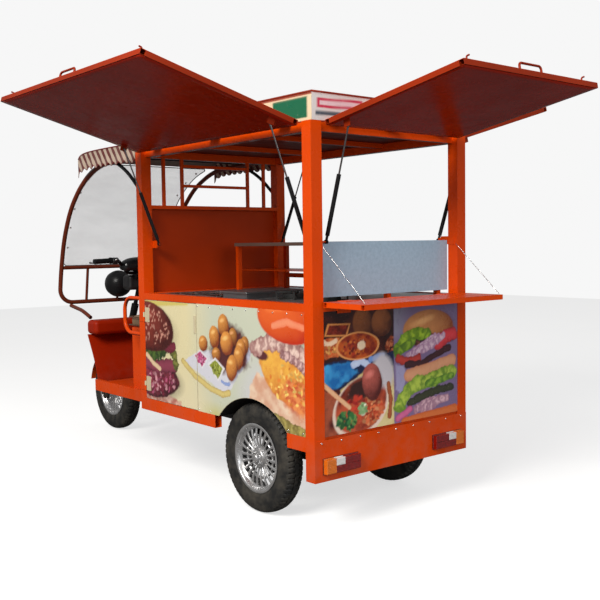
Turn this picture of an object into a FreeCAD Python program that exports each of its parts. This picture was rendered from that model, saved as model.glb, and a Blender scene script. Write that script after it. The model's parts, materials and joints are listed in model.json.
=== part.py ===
"""Three-wheeled food vending cart with lift-up side flaps, a serving shelf and a driver's cab.

Frame: the cart's front faces -Y, its left side is +X, +Z is up and the wheels stand on Z = 0.
Lengths along the cart are given as distances ahead of the body's rear face, in millimetres.
"""
import FreeCAD, Part
import math
import os
import re

import Sketcher
from FreeCAD import Placement, Rotation, Vector

SIDES = (1, -1)
X_AXIS = Vector(1, 0, 0)
Y_AXIS = Vector(0, 1, 0)
Z_AXIS = Vector(0, 0, 1)
ORIGIN = Vector(0, 0, 0)

SIZES = {
    # body box
    "rear_face": 1105, "half_width": 500, "body_length": 1490, "post": 60, "wall": 2,
    "sill_low": 369, "sill_high": 435, "sill_width": 40, "sheet": 2,
    "rail_low": 983, "rail_high": 1018, "rail_width": 35,
    "roof_low": 1760, "roof_high": 1800, "roof_sheet": 1.5,
    "roof_rail_in": 430, "roof_rail_out": 470, "rear_rail_start": 34,
    "window_low": 1500, "grille_bar": 16, "rib": 25,
    "arch_ahead": 457, "arch_z": 198, "arch_radius": 357, "well_depth": 160,
    "front_sill_start": 760, "rear_sill_end": 190, "door_seam": 910,
    # roof sign
    "sign_half": 450, "sign_start": 50, "sign_end": 1480, "sign_top": 1935,
    # flaps, in their own frame: out from the hinge line, and below it
    "flap_hinge_out": 6, "flap_hinge_z": 1806.5, "flap_root": 6, "flap_reach": 786,
    "rear_flap_reach": 774, "flap_skin_top": 5, "flap_skin": 1, "flap_tube": 22, "flap_margin": 65,
    "side_flap_angle": 15.5, "rear_flap_angle": 10, "rear_flap_half": 430,
    # gas struts
    "side_strut_x": 430, "strut_low_z": 1285, "strut_rear_ahead": 115, "strut_front_ahead": 1375,
    "side_strut_reach": 115, "strut_drop": 46, "strut_radius": 9.5, "rod_radius": 4,
    "strut_cylinder": 270, "side_stroke": 138,
    "rear_strut_x": 385, "rear_strut_ahead": 40, "rear_strut_reach": 100, "rear_stroke": 97,
    # serving shelf at the back
    "shelf_hinge_out": 5, "shelf_hinge_z": 1023, "shelf_half": 450, "shelf_root": 6,
    "shelf_depth": 262, "shelf_tube": 22, "shelf_sheet": 1.5,
    "wire_x": 437, "wire_high": 1268, "wire_radius": 1.2,
    # hinges
    "knuckle": 5, "hinge_pin": 2.5, "hinge_length": 80, "leaf": 45, "leaf_sheet": 2, "running": 0.05,
    # counter and what stands on it
    "counter_z": 1012, "counter_x": 464, "cooking_in": 60, "cooking_out": 420,
    "cabinet_in": 30, "cabinet_out": 405, "cabinet_start": 80, "cabinet_end": 1300, "cabinet_top": 1286,
    "board_ahead": 62, "board_left": 390, "board_right": 434, "board_low": 1040,
    # rear panels and lamps
    "skirt_low": 240, "skirt_high": 423, "lamp_in": 247, "lamp_out": 457, "lamp_low": 272, "lamp_high": 344,
    # running gear
    "wheel_radius": 263, "tyre_width": 100, "rear_wheel_ahead": 475, "rear_wheel_x": 422,
    "front_wheel_ahead": 2720, "seat_radius": 155, "axle_radius": 14, "axle_tube": 25,
    "chassis_x": 270, "chassis_width": 40, "chassis_low": 371, "chassis_high": 431, "chassis_front": 2160,
    # steering
    "rake": 24, "stem_radius": 14, "head_radius": 24, "fork_x": 84, "fork_radius": 16,
    "grip_x": 375, "bar_radius": 11,
    # cab
    "cab_half": 420, "cab_tube": 14, "canopy_half": 498,
    "windscreen_half": 372,
}

doc = FreeCAD.newDocument("vending_cart")
dims = doc.addObject("Spreadsheet::Sheet", "Dims")
for row, (word, number) in enumerate(SIZES.items(), start=1):
    dims.set(f"A{row}", word)
    dims.set(f"B{row}", str(number))
    dims.setAlias(f"B{row}", word)
doc.recompute()

nodes = []


def size(word):
    """A size from the sheet, as a plain number."""
    return float(dims.get(word))


def bound(text):
    """An expression in which every size name points at its cell in the sheet."""
    return re.sub(r"[a-z_]+", lambda found: "Dims." + found.group(), str(text))


def at(x, ahead, z):
    """The point x to the left, ahead of the rear face, z above the ground."""
    return Vector(x, size("rear_face") - ahead, z)


def mirrored(side, low, high):
    """A span of X on the left side, or its mirror image on the right."""
    return (low, high) if side > 0 else (f"-({high})", f"-({low})")


def block(x, ahead, z):
    """A box between two values of X, two distances ahead of the rear face and two heights."""
    item = doc.addObject("Part::Box", "Block")
    item.setExpression("Length", bound(f"({x[1]}) - ({x[0]})"))
    item.setExpression("Width", bound(f"({ahead[1]}) - ({ahead[0]})"))
    item.setExpression("Height", bound(f"({z[1]}) - ({z[0]})"))
    item.setExpression("Placement.Base.x", bound(x[0]))
    item.setExpression("Placement.Base.y", bound(f"rear_face - ({ahead[1]})"))
    item.setExpression("Placement.Base.z", bound(z[0]))
    return item


def cut(base, *tools):
    """What is left of a piece after others are taken out of it."""
    for tool in tools:
        item = doc.addObject("Part::Cut", "Cut")
        item.Base = base
        item.Tool = tool
        base = item
    return base


def square_tube(x, ahead, z, along, wall="wall"):
    """A hollow box section, open at both ends of its long axis."""
    spans = {"x": x, "y": ahead, "z": z}
    inner = {}
    for axis, (low, high) in spans.items():
        inset = f"-({wall})" if axis == along else wall
        inner[axis] = (f"({low}) + ({inset})", f"({high}) - ({inset})")
    return cut(block(x, ahead, z), block(inner["x"], inner["y"], inner["z"]))


def feature(shape):
    """A document object for a shape that the primitives can't make."""
    item = doc.addObject("Part::Feature", "Feature")
    item.Shape = shape
    return item


def node(label, *items):
    """One named sub-part: a group of the solids that make it up."""
    group = doc.addObject("Part::Compound", label)
    group.Links = list(items)
    group.Label = label
    group.Placement = Placement()
    nodes.append(group)
    return group


def round_bar(start, end, radius, bore=0.0):
    """A straight round bar or tube between two points."""
    line = end - start
    bar = Part.makeCylinder(radius, line.Length, start, line)
    if bore:
        bar = bar.cut(Part.makeCylinder(bore, line.Length, start, line))
    return bar


def bent_path(points, bend=None):
    """Straight runs joined by tangent arcs: of radius bend, or as large as the runs allow."""
    edges = []
    start = points[0]
    for before, corner, after in zip(points, points[1:], points[2:]):
        back = before - corner
        onward = after - corner
        half = back.getAngle(onward) / 2
        reach = 0.45 * min(back.Length, onward.Length)
        if bend:
            reach = min(reach, bend / math.tan(half))
        radius = reach * math.tan(half)
        back.normalize()
        onward.normalize()
        inward = back + onward
        inward.normalize()
        first = corner + back * reach
        last = corner + onward * reach
        middle = corner + inward * (radius / math.sin(half) - radius)
        edges.append(Part.LineSegment(start, first).toShape())
        edges.append(Part.Arc(first, middle, last).toShape())
        start = last
    edges.append(Part.LineSegment(start, points[-1]).toShape())
    return Part.Wire(edges)


def bent_tube(points, radius, wall=0.0, bend=None):
    """A round tube along a bent path, solid when it has no wall."""
    path = bent_path(points, bend)
    direction = points[1] - points[0]

    def sweep(section_radius):
        ring = Part.Wire(Part.makeCircle(section_radius, points[0], direction))
        return path.makePipeShell([ring], True, False)

    tube = sweep(radius)
    if wall:
        tube = tube.cut(sweep(radius - wall))
    return tube


def turned(start, line, outline, ball=0.0):
    """A solid turned about a line from start: (distance along, radius) corners, then a ball if asked."""
    corners = [Vector(radius, 0, along) for along, radius in outline]
    edges = Part.makePolygon(corners).Edges
    last = corners[-1]
    if ball:
        middle = last.z + math.sqrt(ball ** 2 - last.x ** 2)
        tip = Vector(0, 0, middle + ball)
        shoulder = Vector(ball * math.sin(1), 0, middle + ball * math.cos(1))
        edges.append(Part.Arc(last, shoulder, tip).toShape())
        last = tip
    edges.append(Part.LineSegment(last, corners[0]).toShape())
    solid = Part.Face(Part.Wire(edges)).revolve(ORIGIN, Z_AXIS, 360)
    return placed(solid, Placement(start, Rotation(Z_AXIS, line)))


def lengths(shape, x_cuts, ahead_cuts=(), z_cuts=()):
    """A bent tube as the separate lengths between planes of constant x, distance ahead and height."""
    far = 5000
    spans = []
    for cuts in (x_cuts, ahead_cuts, z_cuts):
        edges = [-far, *sorted(cuts), far]
        spans.append(list(zip(edges, edges[1:])))
    pieces = []
    for x_low, x_high in spans[0]:
        for near, away in spans[1]:
            for z_low, z_high in spans[2]:
                cell = Part.makeBox(x_high - x_low, away - near, z_high - z_low, at(x_low, away, z_low))
                pieces.extend(shape.common(cell).Solids)
    return pieces


def strip(outline, width, shift, centre_x=0.0):
    """A sheet across the cart: a smooth line of (ahead, z) points seen from the side, thick by a shift."""
    line = Part.BSplineCurve()
    line.interpolate([at(centre_x - width / 2, ahead, z) for ahead, z in outline])
    moved = line.copy()
    moved.translate(shift)
    near = line.toShape()
    far = moved.toShape()
    ends = []
    for index in (0, -1):
        edge = Part.LineSegment(near.Vertexes[index].Point, far.Vertexes[index].Point)
        ends.append(edge.toShape())
    face = Part.Face(Part.Wire(Part.__sortEdges__([near, far] + ends)))
    return face.extrude(X_AXIS * width)


def rounded_box(low, high, radius, wall=0.0, open_below=False):
    """A box with its edges rounded; a wall makes it a shell, which can be open and square below."""
    skirt = Vector(0, 0, radius + wall) if open_below else Vector(0, 0, 0)
    box = filleted(low - skirt, high, radius)
    if wall:
        inset = Vector(wall, wall, wall)
        box = box.cut(filleted(low - skirt + inset, high - inset, radius - wall))
    if open_below:
        span = high - low
        box = box.common(Part.makeBox(span.x, span.y, span.z, low))
    return box


def filleted(low, high, radius):
    """A solid box between two corners with every edge rounded."""
    span = high - low
    box = Part.makeBox(span.x, span.y, span.z, low)
    return box.makeFillet(radius, box.Edges)


def hinge(opening):
    """A three-knuckle butt hinge on the local Z axis: its fixed half with the pin, and its moving half.

    The fixed leaf points along -X and the moving leaf along +X, turned by the opening angle.
    """
    third = size("hinge_length") / 3
    gap = 0.3
    knuckle = size("knuckle")
    pin = size("hinge_pin")
    leaf = size("leaf")
    thick = size("leaf_sheet")
    bore = pin + size("running")

    def barrel(start, end):
        return Part.makeCylinder(knuckle, end - start, Vector(0, 0, start))

    def tab(start, end, direction):
        reach = knuckle + 1
        low = 0 if direction > 0 else -reach
        return Part.makeBox(reach, thick, end - start, Vector(low, -knuckle, start))

    def plate(direction):
        low = knuckle + 1 if direction > 0 else -knuckle - 1 - leaf
        return Part.makeBox(leaf, thick, 3 * third, Vector(low, -knuckle, 0))

    hole = Part.makeCylinder(bore, 3 * third)
    fixed = plate(-1)
    for start, end in ((0, third - gap), (2 * third + gap, 3 * third)):
        fixed = fixed.fuse(barrel(start, end)).fuse(tab(start, end, -1))
    fixed = fixed.fuse(Part.makeCylinder(pin, 3 * third)).removeSplitter()
    moving = barrel(third + gap, 2 * third - gap).fuse(tab(third + gap, 2 * third - gap, 1))
    moving = moving.fuse(plate(1)).cut(hole).removeSplitter()
    moving.rotate(ORIGIN, Z_AXIS, opening)
    return fixed, moving


def placed(shape, placement):
    """A copy of a shape moved to a placement."""
    copy = shape.copy()
    copy.Placement = placement.multiply(copy.Placement)
    return copy


def body_frame():
    """The welded square-tube body: posts, sills, counter rails, roof rails and window sill."""
    tubes = []
    inner = "half_width - post"
    front = "body_length - post"
    for side in SIDES:
        post_x = mirrored(side, inner, "half_width")
        for ahead in (("0", "post"), (front, "body_length")):
            tubes.append(square_tube(post_x, ahead, ("sill_low", "roof_high"), "z"))
        sill_x = mirrored(side, "half_width - sill_width", "half_width")
        tubes.append(square_tube(sill_x, ("front_sill_start", front), ("sill_low", "sill_high"), "y"))
        tubes.append(square_tube(sill_x, ("post", "rear_sill_end"), ("sill_low", "sill_high"), "y"))
        rail_x = mirrored(side, "half_width - rail_width", "half_width")
        tubes.append(square_tube(rail_x, ("post", front), ("rail_low", "rail_high"), "y"))
        roof_x = mirrored(side, "roof_rail_in", "roof_rail_out")
        tubes.append(square_tube(roof_x, ("post", front), ("roof_low", "roof_high"), "y"))
    across = (f"-({inner})", inner)
    near_front = (front, "body_length - 20")
    tubes.append(square_tube(across, near_front, ("sill_low", "sill_high"), "x"))
    tubes.append(square_tube(across, near_front, ("rail_low", "rail_high"), "x"))
    tubes.append(square_tube(across, near_front, ("window_low - 20", "window_low"), "x"))
    tubes.append(square_tube(across, near_front, ("roof_low", "roof_high"), "x"))
    tubes.append(square_tube(across, ("10", "post"), ("sill_low", "sill_high"), "x"))
    tubes.append(square_tube(across, ("0", "rail_width"), ("rail_low", "rail_high"), "x"))
    tubes.append(square_tube(across, ("rear_rail_start", "post"), ("roof_low", "roof_high"), "x"))
    for bow in ("body_length / 3", "body_length * 2 / 3"):
        span = ("-(roof_rail_in)", "roof_rail_in")
        tubes.append(square_tube(span, (bow, f"{bow} + rib"), ("roof_high - rib", "roof_high"), "x"))
        span = ("-(half_width - rail_width)", "half_width - rail_width")
        tubes.append(square_tube(span, (bow, f"{bow} + rib"), ("counter_z - rib", "counter_z"), "x"))
    node("body_frame", *tubes, *window_grille(), *arm_loops())


def window_grille():
    """Four uprights and two short rungs welded into the opening behind the driver."""
    ahead = ("body_length - 50", "body_length - 50 + grille_bar")
    bars = []
    for side in SIDES:
        for centre in (350, 230):
            x = mirrored(side, f"{centre} - grille_bar / 2", f"{centre} + grille_bar / 2")
            bars.append(square_tube(x, ahead, ("window_low", "roof_low"), "z", "1.5"))
    x = ("-(230 - grille_bar / 2)", "230 - grille_bar / 2")
    for height in (1613, 1724):
        z = (f"{height} - grille_bar / 2", f"{height} + grille_bar / 2")
        bars.append(square_tube(x, ahead, z, "x", "1.5"))
    return bars


def arm_loops():
    """A bent tube on each front post, beside the driver's seat."""
    front = size("body_length")
    loops = []
    for side in SIDES:
        x = side * 486
        corners = [(front, 985), (front + 190, 985), (front + 190, 786), (front, 786)]
        loop = bent_tube([at(x, ahead, z) for ahead, z in corners], 11, 1.5, 75)
        loops.extend(feature(piece) for piece in lengths(loop, (), (), (786 + 45, 985 - 45)))
    return loops


def front_wall():
    """The sheet between the cab and the kitchen, folded over the window sill and ribbed once."""
    x = ("-(half_width - post)", "half_width - post")
    wall = block(x, ("body_length - 20", "body_length - 20 + sheet"), ("sill_high", "window_low"))
    rib_x = ("-(half_width - post - 20)", "half_width - post - 20")
    rib = block(rib_x, ("body_length - 20 + sheet", "body_length - 12"), ("1148", "1156"))
    node("front_wall", wall, rib)


def side_panels():
    """Sheets that close the sides between sill and counter, cut out round the wheels."""
    sides = ((1, "left_side_panel", "door_seam"), (-1, "right_side_panel", "body_length - post"))
    for side, label, end in sides:
        x = mirrored(side, "half_width - sheet", "half_width")
        panel = block(x, ("post", end), ("sill_high", "rail_low"))
        arch = doc.addObject("Part::Cylinder", "Arch")
        arch.setExpression("Radius", bound("arch_radius"))
        arch.setExpression("Height", bound("half_width * 4"))
        arch.Placement = Placement(
            at(-2 * size("half_width"), size("arch_ahead"), size("arch_z")), Rotation(Y_AXIS, 90)
        )
        jamb_x = mirrored(side, "half_width - sheet - rib", "half_width - sheet")
        jamb = square_tube(jamb_x, ("door_seam - 30", "door_seam - 5"), ("sill_high", "rail_low"), "z")
        node(label, cut(panel, arch), jamb)


def wheel_wells():
    """Curved tunnels over the rear wheels, closed on their inner side."""
    radius = size("arch_radius")
    depth = size("well_depth")
    sheet = size("sheet")
    low = size("sill_high")
    shapes = []
    for side in SIDES:
        edge = size("half_width") - sheet
        inner = edge - depth
        centre = at(inner, size("arch_ahead"), size("arch_z"))
        drum = Part.makeCylinder(radius, depth, centre, X_AXIS)
        hollow = Part.makeCylinder(radius - sheet, depth, centre + X_AXIS * sheet, X_AXIS)
        corner = at(inner - sheet, size("arch_ahead") + 2 * radius, low)
        above = Part.makeBox(depth * 2, radius * 4, radius, corner)
        well = drum.cut(hollow).common(above)
        if side < 0:
            well = well.mirror(ORIGIN, X_AXIS)
        shapes.append(feature(well))
    return shapes


def rear_panels():
    """The panel below the shelf, the skirt with its folded sides, and the lamps on it."""
    x = ("-(half_width - post)", "half_width - post")
    node("rear_graphic_panel", block(x, ("3", "3 + sheet"), ("sill_high", "rail_low")))
    skirt = block(("-(half_width)", "half_width"), ("-sheet", "0"), ("skirt_low", "skirt_high"))
    folds = []
    for side in SIDES:
        x = mirrored(side, "half_width - sheet", "half_width")
        folds.append(block(x, ("0", "post"), ("skirt_low", "sill_low")))
    node("lower_rear_panel", skirt, *folds)

    tray_depth = 6
    lens_depth = 20
    face = -size("sheet")
    low_z, high_z = size("lamp_low"), size("lamp_high")
    rim = 4
    split = 0.72
    clear_width = 52
    trays, lenses = [], []
    for side in SIDES:
        near, far = sorted((side * size("lamp_in"), side * size("lamp_out")))
        tray = Part.makeBox(far - near, tray_depth, high_z - low_z, at(near, face, low_z))
        trays.append(feature(tray.makeFillet(2.5, tray.Edges)))
        inner, outer = size("lamp_in") + rim, size("lamp_out") - rim
        seam = inner + split * (outer - inner)
        middle = (low_z + high_z) / 2
        patches = [
            (inner, seam, low_z + rim, middle),
            (seam, outer, low_z + rim, high_z - rim),
            (inner, seam - clear_width, middle, high_z - rim),
            (seam - clear_width, seam, middle, high_z - rim),
        ]
        for start, end, bottom, top in patches:
            first, last = sorted((side * start, side * end))
            corner = at(first + 0.2, face - tray_depth, bottom + 0.2)
            lens = Part.makeBox(last - first - 0.4, lens_depth, top - bottom - 0.4, corner)
            outer_edges = [edge for edge in lens.Edges if edge.BoundBox.YMin > corner.y + 1]
            lenses.append(feature(lens.makeFillet(2, outer_edges)))
    node("tail_lamps", *trays, *lenses)


def roof():
    """The roof sheet and the hollow sign box that stands on it."""
    x = ("-roof_rail_out", "roof_rail_out")
    sheet_top = "roof_high + roof_sheet"
    node("roof_panel", block(x, ("rear_rail_start", "body_length - 20"), ("roof_high", sheet_top)))
    x = ("-sign_half", "sign_half")
    outer = block(x, ("sign_start", "sign_end"), (sheet_top, "sign_top"))
    inner = block(
        ("-sign_half + sheet", "sign_half - sheet"),
        ("sign_start + sheet", "sign_end - sheet"),
        (f"{sheet_top} - 1", "sign_top - sheet"),
    )
    node("roof_sign_box", cut(outer, inner))


def floors():
    """The kitchen floor with cut-outs over the wheels, and the cab's floor pan."""
    half = "half_width - sill_width"
    floor_z = ("chassis_high", "chassis_high + sheet")
    floor = block((f"-({half})", half), ("post", "body_length - post"), floor_z)
    notches = []
    for side in SIDES:
        x = mirrored(side, "half_width - sheet - well_depth", "half_width")
        notches.append(block(x, ("rear_sill_end", "front_sill_start"), ("sill_low", "sill_high")))
    node("body_floor", cut(floor, *notches), *wheel_wells())
    cab_ahead = ("body_length", "chassis_front")
    pan = block(("-cab_half", "cab_half"), cab_ahead, floor_z)
    flanges = []
    for side in SIDES:
        x = mirrored(side, "cab_half", "cab_half + rib")
        flanges.append(square_tube(x, cab_ahead, ("386", "453"), "y"))
    node("cab_floor", pan, *flanges, pedal_bracket())


def chassis():
    """The ladder frame under the floor, its front beam and the neck that holds the steering head."""
    tubes = []
    rail_z = ("chassis_low", "chassis_high")
    for side in SIDES:
        x = mirrored(side, "chassis_x", "chassis_x + chassis_width")
        tubes.append(square_tube(x, ("post", "body_length - post"), rail_z, "y", "3"))
        tubes.append(square_tube(x, ("body_length - 20", "chassis_front"), rail_z, "y", "3"))
    span = ("-chassis_x", "chassis_x")
    cross_z = ("chassis_low", "chassis_low + 40")
    for ahead in (150, 750, 1100, 1600, 2100):
        tubes.append(square_tube(span, (f"{ahead}", f"{ahead + 40}"), cross_z, "x"))
    beam = square_tube(("-30", "30"), ("2140", "2240"), ("chassis_low", "401"), "y", "3")
    node("chassis_frame", *tubes, beam, *steering_head())


def rim_body(label):
    """A dished wheel with a ring of slots, turned about the local Z axis and pierced by a polar pattern."""
    body = doc.addObject("PartDesign::Body", label + "_body")
    planes = {plane.Role: plane for plane in body.Origin.OriginFeatures if hasattr(plane, "Role")}
    profile = body.newObject("Sketcher::SketchObject", label + "_profile")
    profile.AttachmentSupport = (planes["XZ_Plane"], [""])
    profile.MapMode = "FlatFace"
    corners = [
        ("axle_radius + running", "-18"), ("42", "-18"), ("42", "8"), ("140", "14"), ("140", "-46"),
        ("seat_radius + 10", "-46"), ("seat_radius + 10", "-42"), ("seat_radius", "-42"),
        ("seat_radius", "42"), ("seat_radius + 10", "42"), ("seat_radius + 10", "46"),
        ("140", "46"), ("140", "20"), ("44", "16"), ("44", "34"), ("axle_radius + running", "34"),
    ]
    count = len(corners)
    for index in range(count):
        line = Part.LineSegment(Vector(index, index * index, 0), Vector(index + 1, index, 0))
        profile.addGeometry(line, False)
    for index in range(count):
        profile.addConstraint(Sketcher.Constraint("Coincident", index, 2, (index + 1) % count, 1))
    for index, (across, along) in enumerate(corners):
        for kind, text in (("DistanceX", across), ("DistanceY", along)):
            start_value = length_of(text)
            number = profile.addConstraint(Sketcher.Constraint(kind, -1, 1, index, 1, start_value))
            profile.setExpression(f"Constraints[{number}]", bound(text))
    turned = body.newObject("PartDesign::Revolution", label + "_turned")
    turned.Profile = profile
    turned.ReferenceAxis = (profile, ["V_Axis"])
    turned.Angle = 360
    slot = body.newObject("Sketcher::SketchObject", label + "_slot")
    slot.AttachmentSupport = (planes["XY_Plane"], [""])
    slot.MapMode = "FlatFace"
    slot_in, slot_out, half_in, half_out = 62, 128, 3.5, 9
    ends = [(slot_in, -half_in), (slot_out, -half_out), (slot_out, half_out), (slot_in, half_in)]
    for (x1, y1), (x2, y2) in zip(ends, ends[1:] + ends[:1]):
        slot.addGeometry(Part.LineSegment(Vector(x1, y1, 0), Vector(x2, y2, 0)), False)
    for index in range(4):
        slot.addConstraint(Sketcher.Constraint("Coincident", index, 2, (index + 1) % 4, 1))
    pocket = body.newObject("PartDesign::Pocket", label + "_pocket")
    pocket.Profile = slot
    pocket.Type = "ThroughAll"
    pocket.Midplane = True
    doc.recompute()
    pattern = body.newObject("PartDesign::PolarPattern", label + "_slots")
    pattern.Originals = [pocket]
    pattern.Axis = (profile, ["V_Axis"])
    pattern.Angle = 360
    pattern.Occurrences = 22
    body.Tip = pattern
    doc.recompute()
    return body


def length_of(text):
    """The value of a short sum of sizes and numbers."""
    total = 0.0
    for sign, word in re.findall(r"([+-]?)\s*([a-z_]+|[0-9.]+)", text):
        value = size(word) if word[0].isalpha() else float(word)
        total += -value if sign == "-" else value
    return total


def tyre_shape():
    """A hollow tyre turned about Z: rounded walls, a flatter tread and two beads."""
    bead = size("seat_radius") + 0.3
    crown = size("wheel_radius")
    half = size("tyre_width") / 2
    carcass = 11

    def outline(inset):
        foot = Vector(bead, 0, half - 13 - inset)
        wall = Vector((bead + crown) / 2, 0, half - inset)
        shoulder = Vector(crown - 12 - inset * 0.6, 0, half - 9 - inset)
        top = Vector(crown - inset, 0, 0)
        mirror = [Vector(point.x, 0, -point.z) for point in (shoulder, wall, foot)]
        edges = [
            Part.Arc(foot, wall, shoulder).toShape(),
            Part.Arc(shoulder, top, mirror[0]).toShape(),
            Part.Arc(mirror[0], mirror[1], mirror[2]).toShape(),
            Part.LineSegment(mirror[2], foot).toShape(),
        ]
        return Part.Face(Part.Wire(edges)).revolve(ORIGIN, Z_AXIS, 360)

    return outline(0).cut(outline(carcass))


def wheels():
    """Three wheels, each a tyre and a slotted rim with its hub nuts."""
    rim = rim_body("wheel")
    tyre = tyre_shape()
    nut = Part.makeCylinder(5, 9, Vector(30, 0, 34))
    nuts = [placed(nut, Placement(ORIGIN, Rotation(Z_AXIS, 90 * step))) for step in range(4)]
    places = {
        "rear_left": (at(size("rear_wheel_x"), size("rear_wheel_ahead"), size("wheel_radius")), 90),
        "rear_right": (at(-size("rear_wheel_x"), size("rear_wheel_ahead"), size("wheel_radius")), -90),
        "front": (at(0, size("front_wheel_ahead"), size("wheel_radius")), 90),
    }
    for name, (centre, turn) in places.items():
        place = Placement(centre, Rotation(Y_AXIS, turn))
        node(name + "_tyre", feature(placed(tyre, place)))
        solids = [placed(rim.Shape, place)] + [placed(item, place) for item in nuts]
        node(name + "_rim", *[feature(solid) for solid in solids])


def rear_axle():
    """The driven axle: tube, differential and motor, with drum plates, stub shafts and end nuts."""
    ahead, z = size("rear_wheel_ahead"), size("wheel_radius")
    tube = size("axle_tube")
    stub = size("axle_radius")
    plate_x = 352
    housing_x = 60
    beam = round_bar(at(-plate_x, ahead, z), at(plate_x, ahead, z), tube)
    for side in SIDES:
        drum = round_bar(at(side * plate_x, ahead, z), at(side * (plate_x + 16), ahead, z), 88)
        shaft_x = size("rear_wheel_x") + 40
        shaft = round_bar(at(side * plate_x, ahead, z), at(side * shaft_x, ahead, z), stub)
        nut_x = size("rear_wheel_x") + 38
        cap = round_bar(at(side * nut_x, ahead, z), at(side * (nut_x + 9), ahead, z), 20)
        beam = beam.fuse(drum).fuse(shaft).fuse(cap)
    centre = at(housing_x, ahead, z)
    housing = Part.makeSphere(92, centre)
    motor = round_bar(at(housing_x, ahead + 70, z), at(housing_x, ahead + 300, z), 72)
    flange = round_bar(at(housing_x, ahead + 88, z), at(housing_x, ahead + 100, z), 90)
    whole = beam.fuse(housing).fuse(motor).fuse(flange).removeSplitter()
    node("rear_axle", feature(whole))


def leaf_springs():
    """Two packs of curved leaves with their eyes, hangers and axle clamps."""
    ahead = size("rear_wheel_ahead")
    seat = size("wheel_radius") + size("axle_tube")
    leaf, width = 6, 50
    half_chord, rise = 270, 40
    bow = (half_chord ** 2 + rise ** 2) / (2 * rise)
    centre_x = size("chassis_x") + size("chassis_width") / 2
    shapes = []
    for side in SIDES:
        low_x = side * centre_x - width / 2
        middle = at(low_x, ahead, seat + 8 + bow)
        for step in range(4):
            outer = bow - step * leaf
            reach = half_chord * (0.45 + 0.18 * step)
            wedge = Part.makeCylinder(outer, width, middle, X_AXIS).cut(
                Part.makeCylinder(outer - leaf + 0.2, width, middle, X_AXIS))
            window = Part.makeBox(width, 2 * reach, bow, at(low_x, ahead + reach, seat))
            shapes.append(wedge.common(window))
        top = seat + 9 + 4 * leaf
        shapes.append(Part.makeBox(width + 26, 70, 8, at(low_x - 13, ahead + 35, top)))
        axle_z = size("wheel_radius")
        cradle = Part.makeBox(width, 70, seat + 8 - axle_z, at(low_x, ahead + 35, axle_z))
        tube_radius = size("axle_tube") + 0.3
        tube = round_bar(at(low_x, ahead, axle_z), at(low_x + width, ahead, axle_z), tube_radius)
        shapes.append(cradle.cut(tube))
        for bolt_x in (low_x - 7, low_x + width + 7):
            for bolt_ahead in (ahead - 31, ahead + 31):
                shapes.append(round_bar(at(bolt_x, bolt_ahead, size("wheel_radius") - 30),
                                        at(bolt_x, bolt_ahead, top - 0.2), 5))
        for end in (-1, 1):
            eye = at(low_x, ahead + end * (half_chord + 10), size("chassis_low") - 18)
            ring = round_bar(eye, eye + X_AXIS * width, 12, 5.2)
            pin = round_bar(eye - X_AXIS * 6, eye + X_AXIS * (width + 6), 5)
            hanger = Part.makeBox(width + 13, 30, 5, eye + Vector(-6.5, -15, 13))
            for plate_x in (-6.5, width + 0.5):
                hanger = hanger.fuse(Part.makeBox(6, 30, 26, eye + Vector(plate_x, -15, -12)))
            shapes.extend([ring, hanger.fuse(pin).removeSplitter()])
    node("leaf_springs", *[feature(shape) for shape in shapes])


def steering_axis(s, x=0.0, forward=0.0):
    """A point s up the steering axis from the height of the front axle."""
    lean = math.radians(size("rake"))
    base = at(x, size("front_wheel_ahead") - 10 + forward, size("wheel_radius"))
    return base + Vector(0, math.sin(lean), math.cos(lean)) * s


def steering_head():
    """The head tube that the fork's stem turns in, on the neck that rises from the chassis beam."""
    bore = size("stem_radius") + size("running")
    head_low, head_high = steering_axis(480), steering_axis(680)
    head = round_bar(head_low, head_high, size("head_radius"), bore)
    neck_end = steering_axis(580)
    neck = bent_tube([at(0, 2210, 386), at(0, 2262, 430), neck_end], 22, 2.5)
    neck = neck.cut(round_bar(head_low, head_high, size("head_radius") + 0.2))
    beam_front = Part.makeBox(80, 200, 60, at(-40, 2240, 371))
    neck = neck.cut(beam_front)
    return [feature(head), feature(neck)]


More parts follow.
